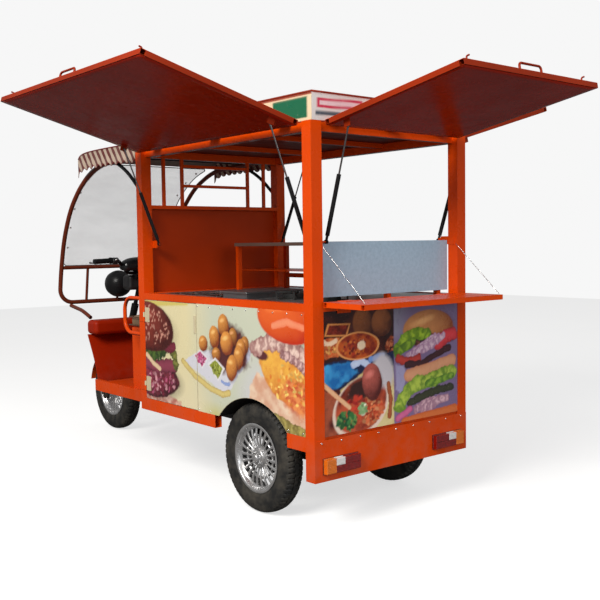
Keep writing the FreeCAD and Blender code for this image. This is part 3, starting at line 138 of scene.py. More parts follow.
class Graph:
    """A material with a short way to add nodes and join them."""

    SOCKETS = {
        "base": "Base Color", "roughness": "Roughness", "metallic": "Metallic", "specular": "Specular IOR Level",
        "coat": "Coat Weight", "coat_roughness": "Coat Roughness", "sheen": "Sheen Weight",
        "sheen_roughness": "Sheen Roughness", "alpha": "Alpha", "ior": "IOR", "normal": "Normal",
        "glow": "Emission Color", "glow_strength": "Emission Strength",
    }

    def __init__(self, name):
        self.material = bpy.data.materials.new(name)
        self.material.use_nodes = True
        self.tree = self.material.node_tree
        self.shader = self.tree.nodes["Principled BSDF"]
        places = self.add("ShaderNodeTexCoord").outputs
        self.where = places["Object"]
        self.facing = places["Normal"]

    def add(self, kind, inputs=None, **options):
        """A new node, with its options set and its inputs fed."""
        node = self.tree.nodes.new(kind)
        for key, value in options.items():
            setattr(node, key, value)
        for key, value in (inputs or {}).items():
            self.feed(node.inputs[key], value)
        return node

    def feed(self, socket, value):
        """Join an output to a socket, or set the socket's own value."""
        if isinstance(value, bpy.types.NodeSocket):
            self.tree.links.new(value, socket)
        elif isinstance(value, (tuple, list)) and len(value) == 3 and socket.type == "RGBA":
            socket.default_value = (*value, 1)
        else:
            socket.default_value = value

    def set(self, **values):
        """Set or feed the surface shader's sockets by their short names."""
        for key, value in values.items():
            self.feed(self.shader.inputs[self.SOCKETS[key]], value)

    def math(self, operation, first, second=0.0, clamp=False):
        node = self.add("ShaderNodeMath", operation=operation, use_clamp=clamp)
        self.feed(node.inputs[0], first)
        self.feed(node.inputs[1], second)
        return node.outputs[0]

    def scaled(self, factors):
        return self.add("ShaderNodeMapping", {"Vector": self.where, "Scale": factors}).outputs["Vector"]

    def noise(self, scale, detail=3.0, rough=0.5, where=None, distortion=0.0):
        node = self.add("ShaderNodeTexNoise", {
            "Vector": where or self.where, "Scale": scale, "Detail": detail, "Roughness": rough,
            "Distortion": distortion})
        return node.outputs["Fac"]

    def cells(self, scale):
        return self.add("ShaderNodeTexVoronoi", {"Vector": self.where, "Scale": scale}).outputs["Distance"]

    def span(self, value, low, high, start=0.0, end=1.0):
        """Turn values from low to high into start to end, clamped."""
        node = self.add("ShaderNodeMapRange", {
            "Value": value, "From Min": low, "From Max": high, "To Min": start, "To Max": end})
        return node.outputs["Result"]

    def mix(self, share, first, second):
        """A colour between the first and the second."""
        node = self.add("ShaderNodeMix", data_type="RGBA")
        self.feed(node.inputs[0], share)
        self.feed(node.inputs[6], first)
        self.feed(node.inputs[7], second)
        return node.outputs[2]

    def bump(self, height, strength=0.3, distance=0.001, normal=None):
        node = self.add("ShaderNodeBump", {"Height": height, "Strength": strength, "Distance": distance})
        if normal is not None:
            self.feed(node.inputs["Normal"], normal)
        return node.outputs["Normal"]

    def rounded(self, radius):
        """A normal that rounds the edges of a hard-cornered part."""
        return self.add("ShaderNodeBevel", {"Radius": radius}, samples=4).outputs["Normal"]

    def axes(self):
        """The place on the object, split into X, Y and Z."""
        return self.add("ShaderNodeSeparateXYZ", {"Vector": self.where}).outputs


def paint(name, colour, dark=0.8, roughness=0.28, coat=0.04, dust=0.25, edge=0.0015, under=None):
    """Sprayed enamel: fine orange peel, uneven gloss, faint cloudiness and a little road dust low down, and
    painted shade on faces that point downwards where an under colour is given.
    """
    g = Graph(name)
    shade = tuple(channel * dark for channel in colour)
    cloud = g.span(g.noise(2.6, 4), 0.35, 0.7)
    body = g.mix(cloud, colour, shade)
    if under:
        # Painted shade: faces whose normal points down are mixed towards the under colour, which stands in for
        # shade.
        facing = g.add("ShaderNodeSeparateXYZ", {"Vector": g.facing}).outputs["Z"]
        body = g.mix(g.span(facing, -0.2, -0.7), body, under)
    low = g.span(g.axes()["Z"], 0.62, 0.18)
    grime = g.math("MULTIPLY", low, g.span(g.noise(9, 6, 0.65), 0.42, 0.72), clamp=True)
    grime = g.math("MULTIPLY", grime, dust, clamp=True)
    dusted = g.mix(grime, body, (0.32, 0.25, 0.19))
    specks = g.span(g.noise(260, 2), 0.715, 0.74)
    worn = g.mix(g.math("MULTIPLY", specks, 0.35, clamp=True), dusted,
                 tuple(channel * 0.35 for channel in colour))
    rough = g.math("ADD", g.span(g.noise(14, 5), 0.3, 0.75, roughness - 0.06, roughness + 0.12),
                   g.math("MULTIPLY", grime, 0.6), clamp=True)
    peel = g.bump(g.noise(420, 2), 0.10, 0.0006, g.rounded(edge))
    waves = g.bump(g.noise(6, 2), 0.12, 0.004, peel)
    g.set(base=worn, roughness=rough, coat=coat, coat_roughness=0.15, specular=0.16, normal=waves)
    return g.material


def brushed(name, colour, along="x", roughness=0.3, stain=0.3, tint=(0.35, 0.33, 0.30)):
    """Sheet steel with a directional grain, smears and a few scratches."""
    g = Graph(name)
    squeeze = {"x": (3, 260, 260), "y": (260, 3, 260), "z": (260, 260, 3)}[along]
    grain = g.noise(1.0, 3, 0.6, g.scaled(squeeze))
    smear = g.span(g.noise(5.5, 6, 0.62, distortion=0.6), 0.42, 0.75)
    base = g.mix(g.math("MULTIPLY", smear, stain, clamp=True), colour, tint)
    lined = g.mix(g.span(grain, 0.3, 0.7, 0.0, 0.22), base, tuple(c * 0.6 for c in colour))
    rough = g.math("ADD", g.span(grain, 0.25, 0.75, roughness - 0.08, roughness + 0.1),
                   g.math("MULTIPLY", smear, 0.22), clamp=True)
    g.set(base=lined, metallic=1.0, roughness=rough, normal=g.bump(grain, 0.12, 0.0004, g.rounded(0.001)))
    return g.material


def cast(name, colour, roughness=0.6, rust=0.2):
    """Black iron or blackened steel with a rough skin and some rust."""
    g = Graph(name)
    spots = g.span(g.noise(34, 7, 0.7), 0.55, 0.72)
    base = g.mix(g.math("MULTIPLY", spots, rust, clamp=True), colour, (0.17, 0.065, 0.025))
    rough = g.span(g.noise(60, 4), 0.3, 0.7, roughness - 0.12, roughness + 0.18)
    g.set(base=base, roughness=rough, metallic=0.5, normal=g.bump(g.noise(700, 3), 0.35, 0.0006,
                                                                  g.rounded(0.001)))
    return g.material


def plastic(name, colour, roughness=0.45, grain=900):
    """Moulded plastic or rubber with a fine leathery skin."""
    g = Graph(name)
    base = g.mix(g.span(g.noise(22, 5), 0.35, 0.7), colour, tuple(c * 1.5 + 0.006 for c in colour))
    skin = g.cells(grain)
    rough = g.span(g.noise(30, 4), 0.3, 0.7, roughness - 0.08, roughness + 0.14)
    g.set(base=base, roughness=rough, specular=0.4, normal=g.bump(skin, 0.18, 0.0005, g.rounded(0.001)))
    return g.material


def polished(name, colour=(0.78, 0.78, 0.77), roughness=0.12):
    """Plated or bare bright steel with fine drawing lines and tarnish."""
    g = Graph(name)
    haze = g.span(g.noise(40, 5), 0.4, 0.72)
    base = g.mix(g.math("MULTIPLY", haze, 0.4, clamp=True), colour, tuple(c * 0.62 for c in colour))
    g.set(base=base, metallic=1.0, roughness=g.span(haze, 0, 1, roughness, roughness + 0.2),
          normal=g.bump(g.noise(500, 3), 0.06, 0.0004))
    return g.material


def tyre_rubber():
    """Black rubber with dust in its grain."""
    g = Graph("tyre_rubber")
    dust = g.span(g.noise(18, 6, 0.65), 0.4, 0.75)
    base = g.mix(g.math("MULTIPLY", dust, 0.62, clamp=True), (0.015, 0.015, 0.015), (0.105, 0.092, 0.072))
    g.set(base=base, roughness=g.span(dust, 0, 1, 0.55, 0.85), specular=0.35,
          normal=g.bump(g.noise(600, 4), 0.3, 0.0006))
    return g.material


def alloy():
    """Silver wheel paint with a metal sparkle and brake haze."""
    g = Graph("wheel_alloy")
    haze = g.span(g.noise(30, 6, 0.6), 0.4, 0.7)
    base = g.mix(haze, (0.66, 0.66, 0.67), (0.42, 0.41, 0.40))
    sparkle = g.noise(1800, 1)
    g.set(base=base, metallic=0.85, roughness=g.span(haze, 0, 1, 0.26, 0.5), coat=0.3,
          normal=g.bump(sparkle, 0.12, 0.0003))
    return g.material


def painted_board(name, colour, worn):
    """A laminated board with a faint lengthwise streak, crumbs and wipe marks."""
    g = Graph(name)
    streak = g.noise(1.0, 5, 0.6, g.scaled((60, 3, 60)))
    base = g.mix(g.span(streak, 0.35, 0.7), colour, worn)
    crumbs = g.span(g.noise(120, 3), 0.66, 0.70)
    base = g.mix(g.math("MULTIPLY", crumbs, 0.3, clamp=True), base, (0.25, 0.22, 0.18))
    rough = g.span(g.noise(12, 4), 0.3, 0.7, 0.3, 0.55)
    g.set(base=base, roughness=rough, normal=g.bump(streak, 0.1, 0.0005, g.rounded(0.002)))
    return g.material


def clear_sheet():
    """Pale grey acrylic, a little milky with age, with faint wiping marks."""
    g = Graph("clear_acrylic")
    marks = g.noise(1.0, 4, 0.6, g.scaled((3, 9, 9)))
    g.set(base=(0.66, 0.66, 0.68), roughness=g.span(marks, 0.3, 0.8, 0.18, 0.30), specular=0.25, ior=1.45,
          alpha=g.span(marks, 0.3, 0.8, 0.21, 0.27))
    g.material.surface_render_method = "BLENDED"
    return g.material


def slotted(obj, material):
    """Every slot of an object takes one material."""
    if not obj.data.materials:
        obj.data.materials.append(material)
    for index in range(len(obj.data.materials)):
        obj.data.materials[index] = material


LOOKS = {}


def make_looks():
    """Every material slot's finish, then the few nodes whose finish differs from their slot's."""
    # The second and third colours here are painted shade, laid on faces that point downwards.
    orange, shaded, painted_ceiling_shade = (0.76, 0.066, 0.0010), (0.24, 0.013, 0.0008), (0.10, 0.006, 0.002)
    LOOKS.update({
        # The orange enamel's downward faces take painted shade.
        "orange_paint": paint("orange_enamel", orange, 0.86, 0.27, under=painted_ceiling_shade),
        # Flap enamel: its downward faces take the shaded colour as painted shade.
        "flap_paint": paint("flap_enamel", orange, 0.84, 0.26, dust=0, under=shaded),
        "cream_panel": paint("cream_enamel", (0.62, 0.54, 0.36), 0.92, 0.3),
        "white_sign": paint("sign_white", (0.70, 0.69, 0.66), 0.93, 0.32),
        "black_paint": paint("black_enamel", (0.012, 0.012, 0.013), 0.6, 0.3, dust=0.5),
        "brown_paint": paint("brown_enamel", (0.155, 0.026, 0.010), 0.7, 0.33, dust=0),
        "worktop_steel": brushed("worktop_steel", (0.50, 0.51, 0.52), "x", 0.3, 0.35),
        "zinc_steel": brushed("zinc_steel", (0.42, 0.42, 0.41), "z", 0.42, 0.5),
        "bright_steel": polished("bright_steel"),
        "iron": cast("black_iron", (0.018, 0.018, 0.018)),
        "griddle_steel": brushed("griddle_steel", (0.36, 0.37, 0.38), "y", 0.34, 0.6, (0.12, 0.09, 0.06)),
        "alloy": alloy(),
        "tread": tyre_rubber(),
        "lamp_red": lamp_material(),
        "black_plastic": plastic("black_plastic", (0.012, 0.012, 0.013), 0.36),
        "gloss_black": plastic("gloss_black_plastic", (0.006, 0.006, 0.007), 0.16, 500),
        "grip_rubber": plastic("grip_rubber", (0.014, 0.014, 0.014), 0.6, 500),
        "striped_cloth": cloth_material("awning_stripe", True),
        "seat_vinyl": vinyl("seat_base_vinyl", (0.16, 0.095, 0.05)),
        "clear_sheet": clear_sheet(),
        "board": painted_board("pale_board", (0.21, 0.13, 0.100), (0.15, 0.095, 0.072)),
        "print": print_material(),
        "canopy": cloth_material("awning_top", False),
        "piping": plastic("awning_binding", (0.15, 0.014, 0.012), 0.75, 1400),
        "vinyl": vinyl("cushion_vinyl", (0.24, 0.15, 0.085)),
        "vinyl_piping": vinyl("piping_vinyl", (0.10, 0.055, 0.03)),
        "sign_trim": paint("sign_trim_enamel", (0.26, 0.030, 0.012), 0.8, 0.35, dust=0),
        # A darker copy of the orange enamel for the front wall: painted shade.
        "shaded_orange": paint("inner_enamel_painted_shade", (0.50, 0.040, 0.0015), 0.8, 0.42, 0.0, 0.2),
        # A darker copy of the orange enamel for the leg shield and the dashboard locker: painted shade.
        "leg_orange": paint("leg_shield_painted_shade_enamel", (0.36, 0.016, 0.0006), 0.8, 0.4, 0.0, 0.2),
        # A darker copy of the orange enamel, with the darkest colour on its downward faces, for the roof panel
        # and the flap frames: all painted shade.
        "roof_orange": paint("roof_painted_shade_enamel", (0.34, 0.026, 0.002), 0.75, 0.45, 0.0, 0, under=painted_ceiling_shade),
        # The flap linings' dark orange is painted shade.
        "flap_lining": paint("flap_lining_painted_shade_enamel", (0.34, 0.0120, 0.0004), 0.8, 0.24, 0.06, 0),
        "dark_rod": polished("nitrided_rod", (0.20, 0.19, 0.19), 0.22),
        "underseal": cast("wheel_arch_underseal", (0.008, 0.007, 0.006), 0.85, 0.12),
        "slate_board": painted_board("slate_board", (0.36, 0.53, 0.66), (0.30, 0.45, 0.57)),
    })
    for part in frame["record"]["subparts"]:
        slotted(nodes[part["node"]], LOOKS[part["material_slot"]])
    # The front wall, leg shield, dashboard locker, roof panel and flap frames take darker copies of the orange
    # enamel: painted shade.
    for node, look in (
        ("front_wall", "shaded_orange"), ("leg_shield", "leg_orange"),
        ("dashboard_locker", "leg_orange"), ("body_floor", "underseal"),
        ("rear_board", "slate_board"), ("roof_panel", "roof_orange"),
        ("left_strut_rod", "dark_rod"), ("right_strut_rod", "dark_rod"), ("rear_strut_rod", "dark_rod"),
        ("left_flap_frame", "roof_orange"), ("right_flap_frame", "roof_orange"),
        ("rear_flap_frame", "roof_orange"), ("hinges_and_brackets", "orange_paint"),
    ):
        slotted(nodes[node], LOOKS[look])


# ---------------------------------------------------------------- printed food pictures

def linear(colour):
    """A screen colour, three numbers from 0 to 255, as linear light. An array is linear light already."""
    if isinstance(colour, np.ndarray):
        return colour
    return np.array([c / 255 / 12.92 if c < 11 else ((c / 255 + 0.055) / 1.055) ** 2.4 for c in colour])


def lattice_noise(u, v, cell, seed, octaves=3):
    """Smooth noise from 0 to 1 over a sheet, from a seeded lattice of values."""
    total, weight, share = np.zeros_like(u), 0.0, 1.0
    for octave in range(octaves):
        rng = np.random.default_rng(seed + 31 * octave)
        values = rng.random((64, 64))
        x, y = u / cell + 7.3 * octave, v / cell + 3.1 * octave
        ix, iy = np.floor(x).astype(int), np.floor(y).astype(int)
        fx, fy = x - ix, y - iy
        fx, fy = fx * fx * (3 - 2 * fx), fy * fy * (3 - 2 * fy)
        corner = [values[(iy + dy) % 64, (ix + dx) % 64] for dy in (0, 1) for dx in (0, 1)]
        lower, upper = (corner[0] * (1 - fx) + corner[1] * fx), (corner[2] * (1 - fx) + corner[3] * fx)
        total += share * (lower * (1 - fy) + upper * fy)
        weight += share
        share *= 0.55
        cell *= 0.5
    return total / weight


class Picture:
    """A printed sheet: a grid of points in metres, u to the right and v up, with a colour at each."""

    def __init__(self, width, height, step, ground):
        across, up = int(round(width / step)) + 1, int(round(height / step)) + 1
        self.u, self.v = np.meshgrid(np.linspace(0, width, across), np.linspace(0, height, up))
        self.colour = np.empty(self.u.shape + (3,))
        self.colour[:] = linear(ground)

    def noise(self, cell, seed, octaves=3):
        return lattice_noise(self.u, self.v, cell, seed, octaves)

    def lay(self, cover, colour):
        """Paint a colour over the sheet where cover is above 0."""
        colour = np.broadcast_to(linear(colour), self.colour.shape)
        self.colour += np.clip(cover, 0, 1)[..., None] * (colour - self.colour)

    def tint(self, cell, seed, light, dark):
        """A cloudy mix of two colours."""
        light, dark = linear(light), linear(dark)
        share = np.clip((self.noise(cell, seed) - 0.3) / (0.7 - 0.3), 0, 1)[..., None]
        return dark + share * (light - dark)

    def local(self, centre, radii, turn=0.0, wobble=0.0, seed=0, cell=0.03):
        """Coordinates inside an oval, 1 at its rim, with an uneven rim if it wobbles."""
        c, s = math.cos(math.radians(turn)), math.sin(math.radians(turn))
        du, dv = self.u - centre[0], self.v - centre[1]
        a, b = (du * c + dv * s) / radii[0], (dv * c - du * s) / radii[1]
        if wobble:
            shift = 1 + wobble * (self.noise(cell, seed) - 0.5) * 2
            a, b = a * shift, b * shift
        return a, b

    def cover(self, a, b, soft=0.05):
        """1 inside an oval and 0 outside it, with a soft rim."""
        return np.clip((1 - np.hypot(a, b)) / soft + 0.5, 0, 1)

    def oval(self, centre, radii, colour, turn=0.0, soft=0.05, wobble=0.0, seed=0, cell=0.03):
        a, b = self.local(centre, radii, turn, wobble, seed, cell)
        self.lay(self.cover(a, b, soft), colour)

    def ball(self, centre, radii, light, dark, turn=0.0, wobble=0.0, seed=0, cell=0.03, mottle=0.25,
             shine=0.0, shadow=0.5):
        """A shaded lump of food, lit from the upper left, with a soft shadow below it."""
        light, dark = linear(light), linear(dark)
        if shadow:
            a, b = self.local((centre[0] + radii[0] * 0.15, centre[1] - radii[1] * 0.14), radii, turn)
            self.lay(shadow * np.clip((1.12 - np.hypot(a, b)) / 0.25, 0, 1), self.colour * 0.3)
        a, b = self.local(centre, radii, turn, wobble, seed, cell)
        du, dv = (self.u - centre[0]) / max(radii), (self.v - centre[1]) / max(radii)
        depth = np.sqrt(np.clip(1 - a * a - b * b, 0, 1))
        lit = np.clip(0.62 * depth - 0.38 * du + 0.50 * dv + 0.08, 0, 1)
        lit = np.clip(lit + mottle * (self.noise(cell * 0.5, seed + 5) - 0.5) * 2, 0, 1)[..., None]
        self.lay(self.cover(a, b), dark + lit * (light - dark))
        if shine:
            self.oval((centre[0] - radii[0] * 0.25, centre[1] + radii[1] * 0.42),
                      (radii[0] * 0.38, radii[1] * 0.16), np.clip(light * 1.4 + shine, 0, 1), turn + 12, 1.1,
                      0.2, seed)

    def to_run(self, start, end):
        """Each point's nearest place on a straight run, from 0 to 1, its distance, and the run's length."""
        (u1, v1), (u2, v2) = start, end
        length = math.hypot(u2 - u1, v2 - v1)
        t = np.clip(((self.u - u1) * (u2 - u1) + (self.v - v1) * (v2 - v1)) / length ** 2, 0, 1)
        return t, np.hypot(self.u - u1 - t * (u2 - u1), self.v - v1 - t * (v2 - v1)), length

    def ribbon(self, points, width, light, dark, wobble=0.0, seed=0, cell=0.02, fold=0.0):
        """A strip of food along a line of points, rounded across its width and folded along it if asked."""
        light, dark = linear(light), linear(dark)
        best = np.full(self.u.shape, 1e9)
        along = np.zeros_like(self.u)
        travelled = 0.0
        for start, end in zip(points, points[1:]):
            t, gap, length = self.to_run(start, end)
            along = np.where(gap < best, travelled + t * length, along)
            best = np.minimum(best, gap)
            travelled += length
        size = width * (1 + wobble * (self.noise(cell, seed) - 0.5) * 2)
        share = best / size
        lit = np.sqrt(np.clip(1 - share * share, 0, 1))
        if fold:
            lit = lit * (0.62 + 0.38 * np.sin(along / fold * 2 * math.pi + 9 * self.noise(cell, seed + 3)))
        lit = np.clip(lit + 0.3 * (self.noise(cell, seed + 8) - 0.5), 0, 1)[..., None]
        self.lay(np.clip((1 - share) / 0.12 + 0.5, 0, 1), dark + lit * (light - dark))

    def patch(self, corners, colour, soft=0.004, wobble=0.0, seed=0, cell=0.02):
        """A filled outline through straight-sided corners."""
        inside = np.zeros(self.u.shape, bool)
        best = np.full(self.u.shape, 1e9)
        for (u1, v1), (u2, v2) in zip(corners, corners[1:] + corners[:1]):
            crosses = (v1 > self.v) != (v2 > self.v)
            slope = (u2 - u1) * (self.v - v1) / ((v2 - v1) if v2 != v1 else 1e-9) + u1
            inside ^= crosses & (self.u < slope)
            best = np.minimum(best, self.to_run((u1, v1), (u2, v2))[1])
        signed = np.where(inside, best, -best) + wobble * (self.noise(cell, seed) - 0.5)
        self.lay(np.clip(signed / soft + 0.5, 0, 1), colour)

    def seeds(self, centre, radii, turn, count, size, light, seed):
        """Sesame seeds scattered on an oval bun."""
        light = linear(light)
        rng = np.random.default_rng(seed)
        for _ in range(count):
            r, t = math.sqrt(rng.random()) * 0.92, rng.random() * 2 * math.pi
            a, b = r * math.cos(t) * radii[0], r * math.sin(t) * radii[1]
            c, s = math.cos(math.radians(turn)), math.sin(math.radians(turn))
            spot = (centre[0] + a * c - b * s, centre[1] + a * s + b * c)
            self.oval(spot, (size, size * 0.5), light * (0.6 + 0.5 * rng.random()), 90 + rng.normal() * 30,
                      0.9)

    def crumbs(self, centre, radii, count, size, colours, seed, turn=0.0):
        """Small chopped pieces scattered over an oval."""
        rng = np.random.default_rng(seed)
        for _ in range(count):
            r, t = math.sqrt(rng.random()), rng.random() * 2 * math.pi
            spot = (centre[0] + r * math.cos(t) * radii[0], centre[1] + r * math.sin(t) * radii[1])
            tone = linear(colours[rng.integers(len(colours))]) * (0.55 + 0.7 * rng.random())
            long = size * (0.6 + 0.9 * rng.random())
            self.oval(spot, (long, long * (0.35 + 0.5 * rng.random())), tone, turn + rng.normal() * 50, 0.5)


def side_picture(width, height, step):
    """Food on a cream ground: a seeded burger, a tray of croquettes with dips and a filled bun."""
    cream, sage = (236, 224, 178), (208, 212, 190)
    p = Picture(width, height, step, cream)
    p.lay(np.clip((p.u - 0.42) / 0.25, 0, 1), sage)
    p.patch([(0, 0.51), (0.44, 0.535), (0.44, 0.56), (0, 0.56)], (222, 203, 110), 0.01)
    p.lay(np.clip((0.22 - p.v) / 0.2, 0, 1) * np.clip((0.75 - p.u) / 0.3, 0, 1), (238, 226, 186))
    p.lay(0.7 * np.clip((0.07 - p.v) / 0.06, 0, 1) * np.clip(1 - np.abs(p.u - 0.68) / 0.14, 0, 1),
          (205, 198, 105))
    p.lay(np.clip((p.u - 0.83) / 0.2, 0, 1) * np.clip((0.36 - p.v) / 0.2, 0, 1), (214, 212, 222))
    burger(p)
    croquette_tray(p)
    filled_bun(p)
    return p


def burger(p):
    """The seeded burger at the front end."""
    p.oval((0.06, 0.00), (0.30, 0.055), p.tint(0.03, 3, (243, 200, 180), (196, 120, 105)), 0, 0.1, 0.12, 4)
    p.ball((0.08, 0.125), (0.262, 0.105), (150, 52, 72), (66, 14, 26), 0, 0.07, 11, 0.04, 0.7, 0)
    p.crumbs((0.11, 0.12), (0.20, 0.08), 150, 0.011, [(182, 84, 118), (118, 28, 52), (214, 150, 160)], 21, 60)
    p.ribbon([(0.0, 0.205), (0.12, 0.19), (0.30, 0.21)], 0.035, (148, 62, 84), (74, 18, 34), 0.35, 5)
    p.ribbon([(0.02, 0.275), (0.10, 0.262), (0.17, 0.285)], 0.052, (92, 122, 46), (20, 44, 22), 0.5, 6, 0.02,
             0.05)
    p.ribbon([(0.25, 0.30), (0.30, 0.27), (0.315, 0.215)], 0.026, (142, 142, 66), (66, 70, 30), 0.5, 7, 0.02,
             0.04)
    p.ribbon([(0.015, 0.245), (0.09, 0.20), (0.15, 0.178)], 0.014, (240, 210, 170), (196, 150, 110), 0.3, 8)
    p.ribbon([(0.17, 0.31), (0.24, 0.30), (0.29, 0.31)], 0.028, (136, 46, 66), (70, 16, 30), 0.4, 9)
    p.ball((0.03, 0.405), (0.268, 0.135), (150, 56, 42), (70, 18, 16), -6, 0.02, 12, 0.05, 0.22, 0.02, 0.3)
    p.seeds((0.03, 0.415), (0.25, 0.115), -6, 120, 0.0085, (226, 160, 140), 17)


def croquette_tray(p):
    """A paper tray of croquettes with two dips."""
    p.patch([(0.39, 0.245), (0.56, 0.315), (0.99, 0.355), (0.80, 0.130), (0.755, 0.118)], (222, 221, 230),
            0.006, 0.01, 2)
    p.patch([(0.78, 0.145), (0.97, 0.30), (0.99, 0.36), (0.93, 0.36)], (196, 196, 214), 0.01, 0.01, 5)
    p.ribbon([(0.385, 0.243), (0.50, 0.176), (0.64, 0.128), (0.745, 0.112), (0.795, 0.124)], 0.016,
             (228, 206, 128), (168, 132, 62), 0.15, 14)
    light, dark = linear((238, 160, 74)), linear((134, 58, 26))
    p.oval((0.80, 0.335), (0.16, 0.12), (88, 38, 40), 0, 0.3, 0.2, 4)
    for centre, radii, turn, tone in (
        ((0.930, 0.368), (0.034, 0.045), -10, 0.72), ((0.836, 0.401), (0.036, 0.045), 0, 0.66),
        ((0.577, 0.350), (0.040, 0.040), 10, 0.95), ((0.757, 0.452), (0.046, 0.056), 4, 0.92),
        ((0.677, 0.390), (0.044, 0.056), 8, 0.98), ((0.899, 0.345), (0.040, 0.052), -8, 0.86),
        ((0.692, 0.305), (0.038, 0.034), 0, 0.80), ((0.880, 0.305), (0.040, 0.058), -6, 0.94),
        ((0.782, 0.366), (0.052, 0.058), 6, 1.04), ((0.822, 0.250), (0.046, 0.064), -14, 1.0),
    ):
        p.ball(centre, radii, light * tone, dark * tone, turn, 0.05, int(1000 * centre[0]), 0.018, 0.16, 0.10,
               0.55)
    for centre, radii, tones, seed in (
        ((0.553, 0.268), (0.052, 0.038), [(196, 78, 128), (226, 150, 186), (150, 44, 90)], 41),
        ((0.690, 0.230), (0.060, 0.046), [(148, 156, 48), (178, 186, 90), (104, 112, 28)], 42),
    ):
        du, dv = radii[0] * 1.25, radii[1] * 1.25
        u, v = centre
        rim = [(u - du, v + dv * 0.35), (u - du * 0.1, v + dv), (u + du, v + dv * 0.2),
               (u + du * 0.2, v - dv)]
        well = [(u + (x - u) * 0.80, v + (y - v) * 0.80) for x, y in rim]
        p.patch(rim, (240, 236, 240), 0.006)
        p.patch(well, tones[0], 0.006, 0.01, seed)
        p.crumbs(centre, (radii[0] * 0.72, radii[1] * 0.62), 90, 0.006, tones, seed)
    p.ribbon([(0.735, 0.175), (0.775, 0.165), (0.80, 0.170)], 0.008, (150, 170, 222), (110, 130, 190), 0.5,
             15)


def filled_bun(p):
    """The filled bun at the rear end."""
    p.patch([(0.965, 0.18), (1.02, 0.25), (1.40, 0.16), (1.40, -0.02), (1.16, -0.02), (0.955, 0.085)],
            p.tint(0.05, 23, (244, 214, 186), (222, 168, 138)), 0.008, 0.02, 24)
    p.ribbon([(1.16, 0.055), (1.26, 0.025), (1.40, 0.012)], 0.024, (188, 172, 96), (112, 96, 44), 0.5, 25,
             0.03, 0.05)
    p.ball((1.26, 0.255), (0.235, 0.125), (248, 186, 76), (208, 104, 40), -22, 0.08, 26, 0.05, 0.5, 0.0, 0.35)
    p.oval((1.33, 0.165), (0.13, 0.075), p.tint(0.02, 27, (244, 150, 84), (204, 84, 46)), -14, 0.4, 0.25, 28)
    p.crumbs((1.28, 0.22), (0.16, 0.09), 70, 0.010, [(250, 206, 110), (226, 130, 50), (252, 190, 96)], 29,
             -20)
    p.oval((1.06, 0.335), (0.05, 0.024), (96, 46, 48), -8, 0.3, 0.2, 30)
    p.ribbon([(1.01, 0.365), (1.10, 0.395), (1.20, 0.402), (1.30, 0.372), (1.40, 0.315)], 0.040,
             (246, 214, 200), (150, 92, 92), 0.45, 31, 0.03, 0.055)
    p.ribbon([(1.22, 0.35), (1.32, 0.325), (1.40, 0.275)], 0.022, (236, 196, 190), (120, 66, 74), 0.5, 32,
             0.02, 0.035)
    p.ball((1.26, 0.515), (0.225, 0.115), (244, 108, 40), (196, 44, 8), -3, 0.015, 33, 0.08, 0.08, 0.02, 0.4)
    p.ribbon([(1.15, 0.475), (1.25, 0.498), (1.36, 0.478)], 0.018, (248, 150, 110), (232, 84, 30), 0.3, 34,
             0.06)


def rear_picture(width, height, step):
    """Two halves: bowls of stew on a dark table with a blue cloth, and a tall salad bun on violet grey."""
    p = Picture(width, height, step, (52, 18, 16))
    p.lay(np.clip((p.noise(0.08, 3) - 0.45) * 3, 0, 0.6), (92, 32, 22))
    nuts_and_spices(p)
    blue_cloth(p)
    leaf_bowl(p)
    stew_bowl(p)
    salad_bun(p)
    return p


def nuts_and_spices(p):
    """Two round nuts, a square dish of sauce and a corner of rice."""
    for centre, radii, turn in (((0.235, 0.485), (0.062, 0.068), 12), ((0.355, 0.480), (0.066, 0.064), 4)):
        p.ball(centre, radii, (172, 98, 50), (80, 34, 18), turn, 0.04, 51, 0.05, 0.25, 0, 0.5)
    p.crumbs((0.41, 0.37), (0.035, 0.04), 40, 0.008, [(150, 60, 30), (196, 110, 70)], 52)
    rim = [(0.024, 0.494), (0.160, 0.488), (0.138, 0.432), (0.004, 0.440)]
    p.patch(rim, (222, 142, 74), 0.005)
    p.patch([(0.034, 0.487), (0.150, 0.482), (0.131, 0.439), (0.016, 0.446)],
            p.tint(0.03, 53, (148, 42, 20), (90, 20, 12)), 0.004)
    p.patch([(-0.02, 0.428), (0.095, 0.43), (0.09, 0.345), (-0.02, 0.345)],
            p.tint(0.02, 54, (222, 120, 60), (170, 62, 26)), 0.006, 0.02, 55)
    p.ribbon([(-0.01, 0.418), (0.03, 0.404), (0.07, 0.416)], 0.012, (250, 214, 180), (226, 160, 116), 0.4, 56)
    p.crumbs((0.04, 0.375), (0.035, 0.022), 26, 0.007, [(240, 170, 90), (210, 90, 40)], 57)


def blue_cloth(p):
    """A folded blue cloth under the bowls."""
    p.patch([(-0.02, 0.320), (0.50, 0.345), (0.50, 0.20), (0.12, 0.19), (0.05, 0.205), (-0.02, 0.235)],
            (26, 36, 74), 0.006, 0.02, 58)
    p.patch([(-0.02, 0.315), (0.155, 0.315), (0.205, 0.262), (0.09, 0.208), (0.04, 0.205), (-0.02, 0.232)],
            p.tint(0.06, 59, (70, 172, 232), (22, 106, 178)), 0.01, 0.02, 60)
    p.ribbon([(0.175, 0.302), (0.225, 0.312), (0.262, 0.296)], 0.017, (206, 218, 246), (140, 160, 214), 0.3,
             61)
    p.ribbon([(0.28, 0.315), (0.36, 0.326)], 0.014, (126, 160, 222), (56, 86, 160), 0.4, 62)


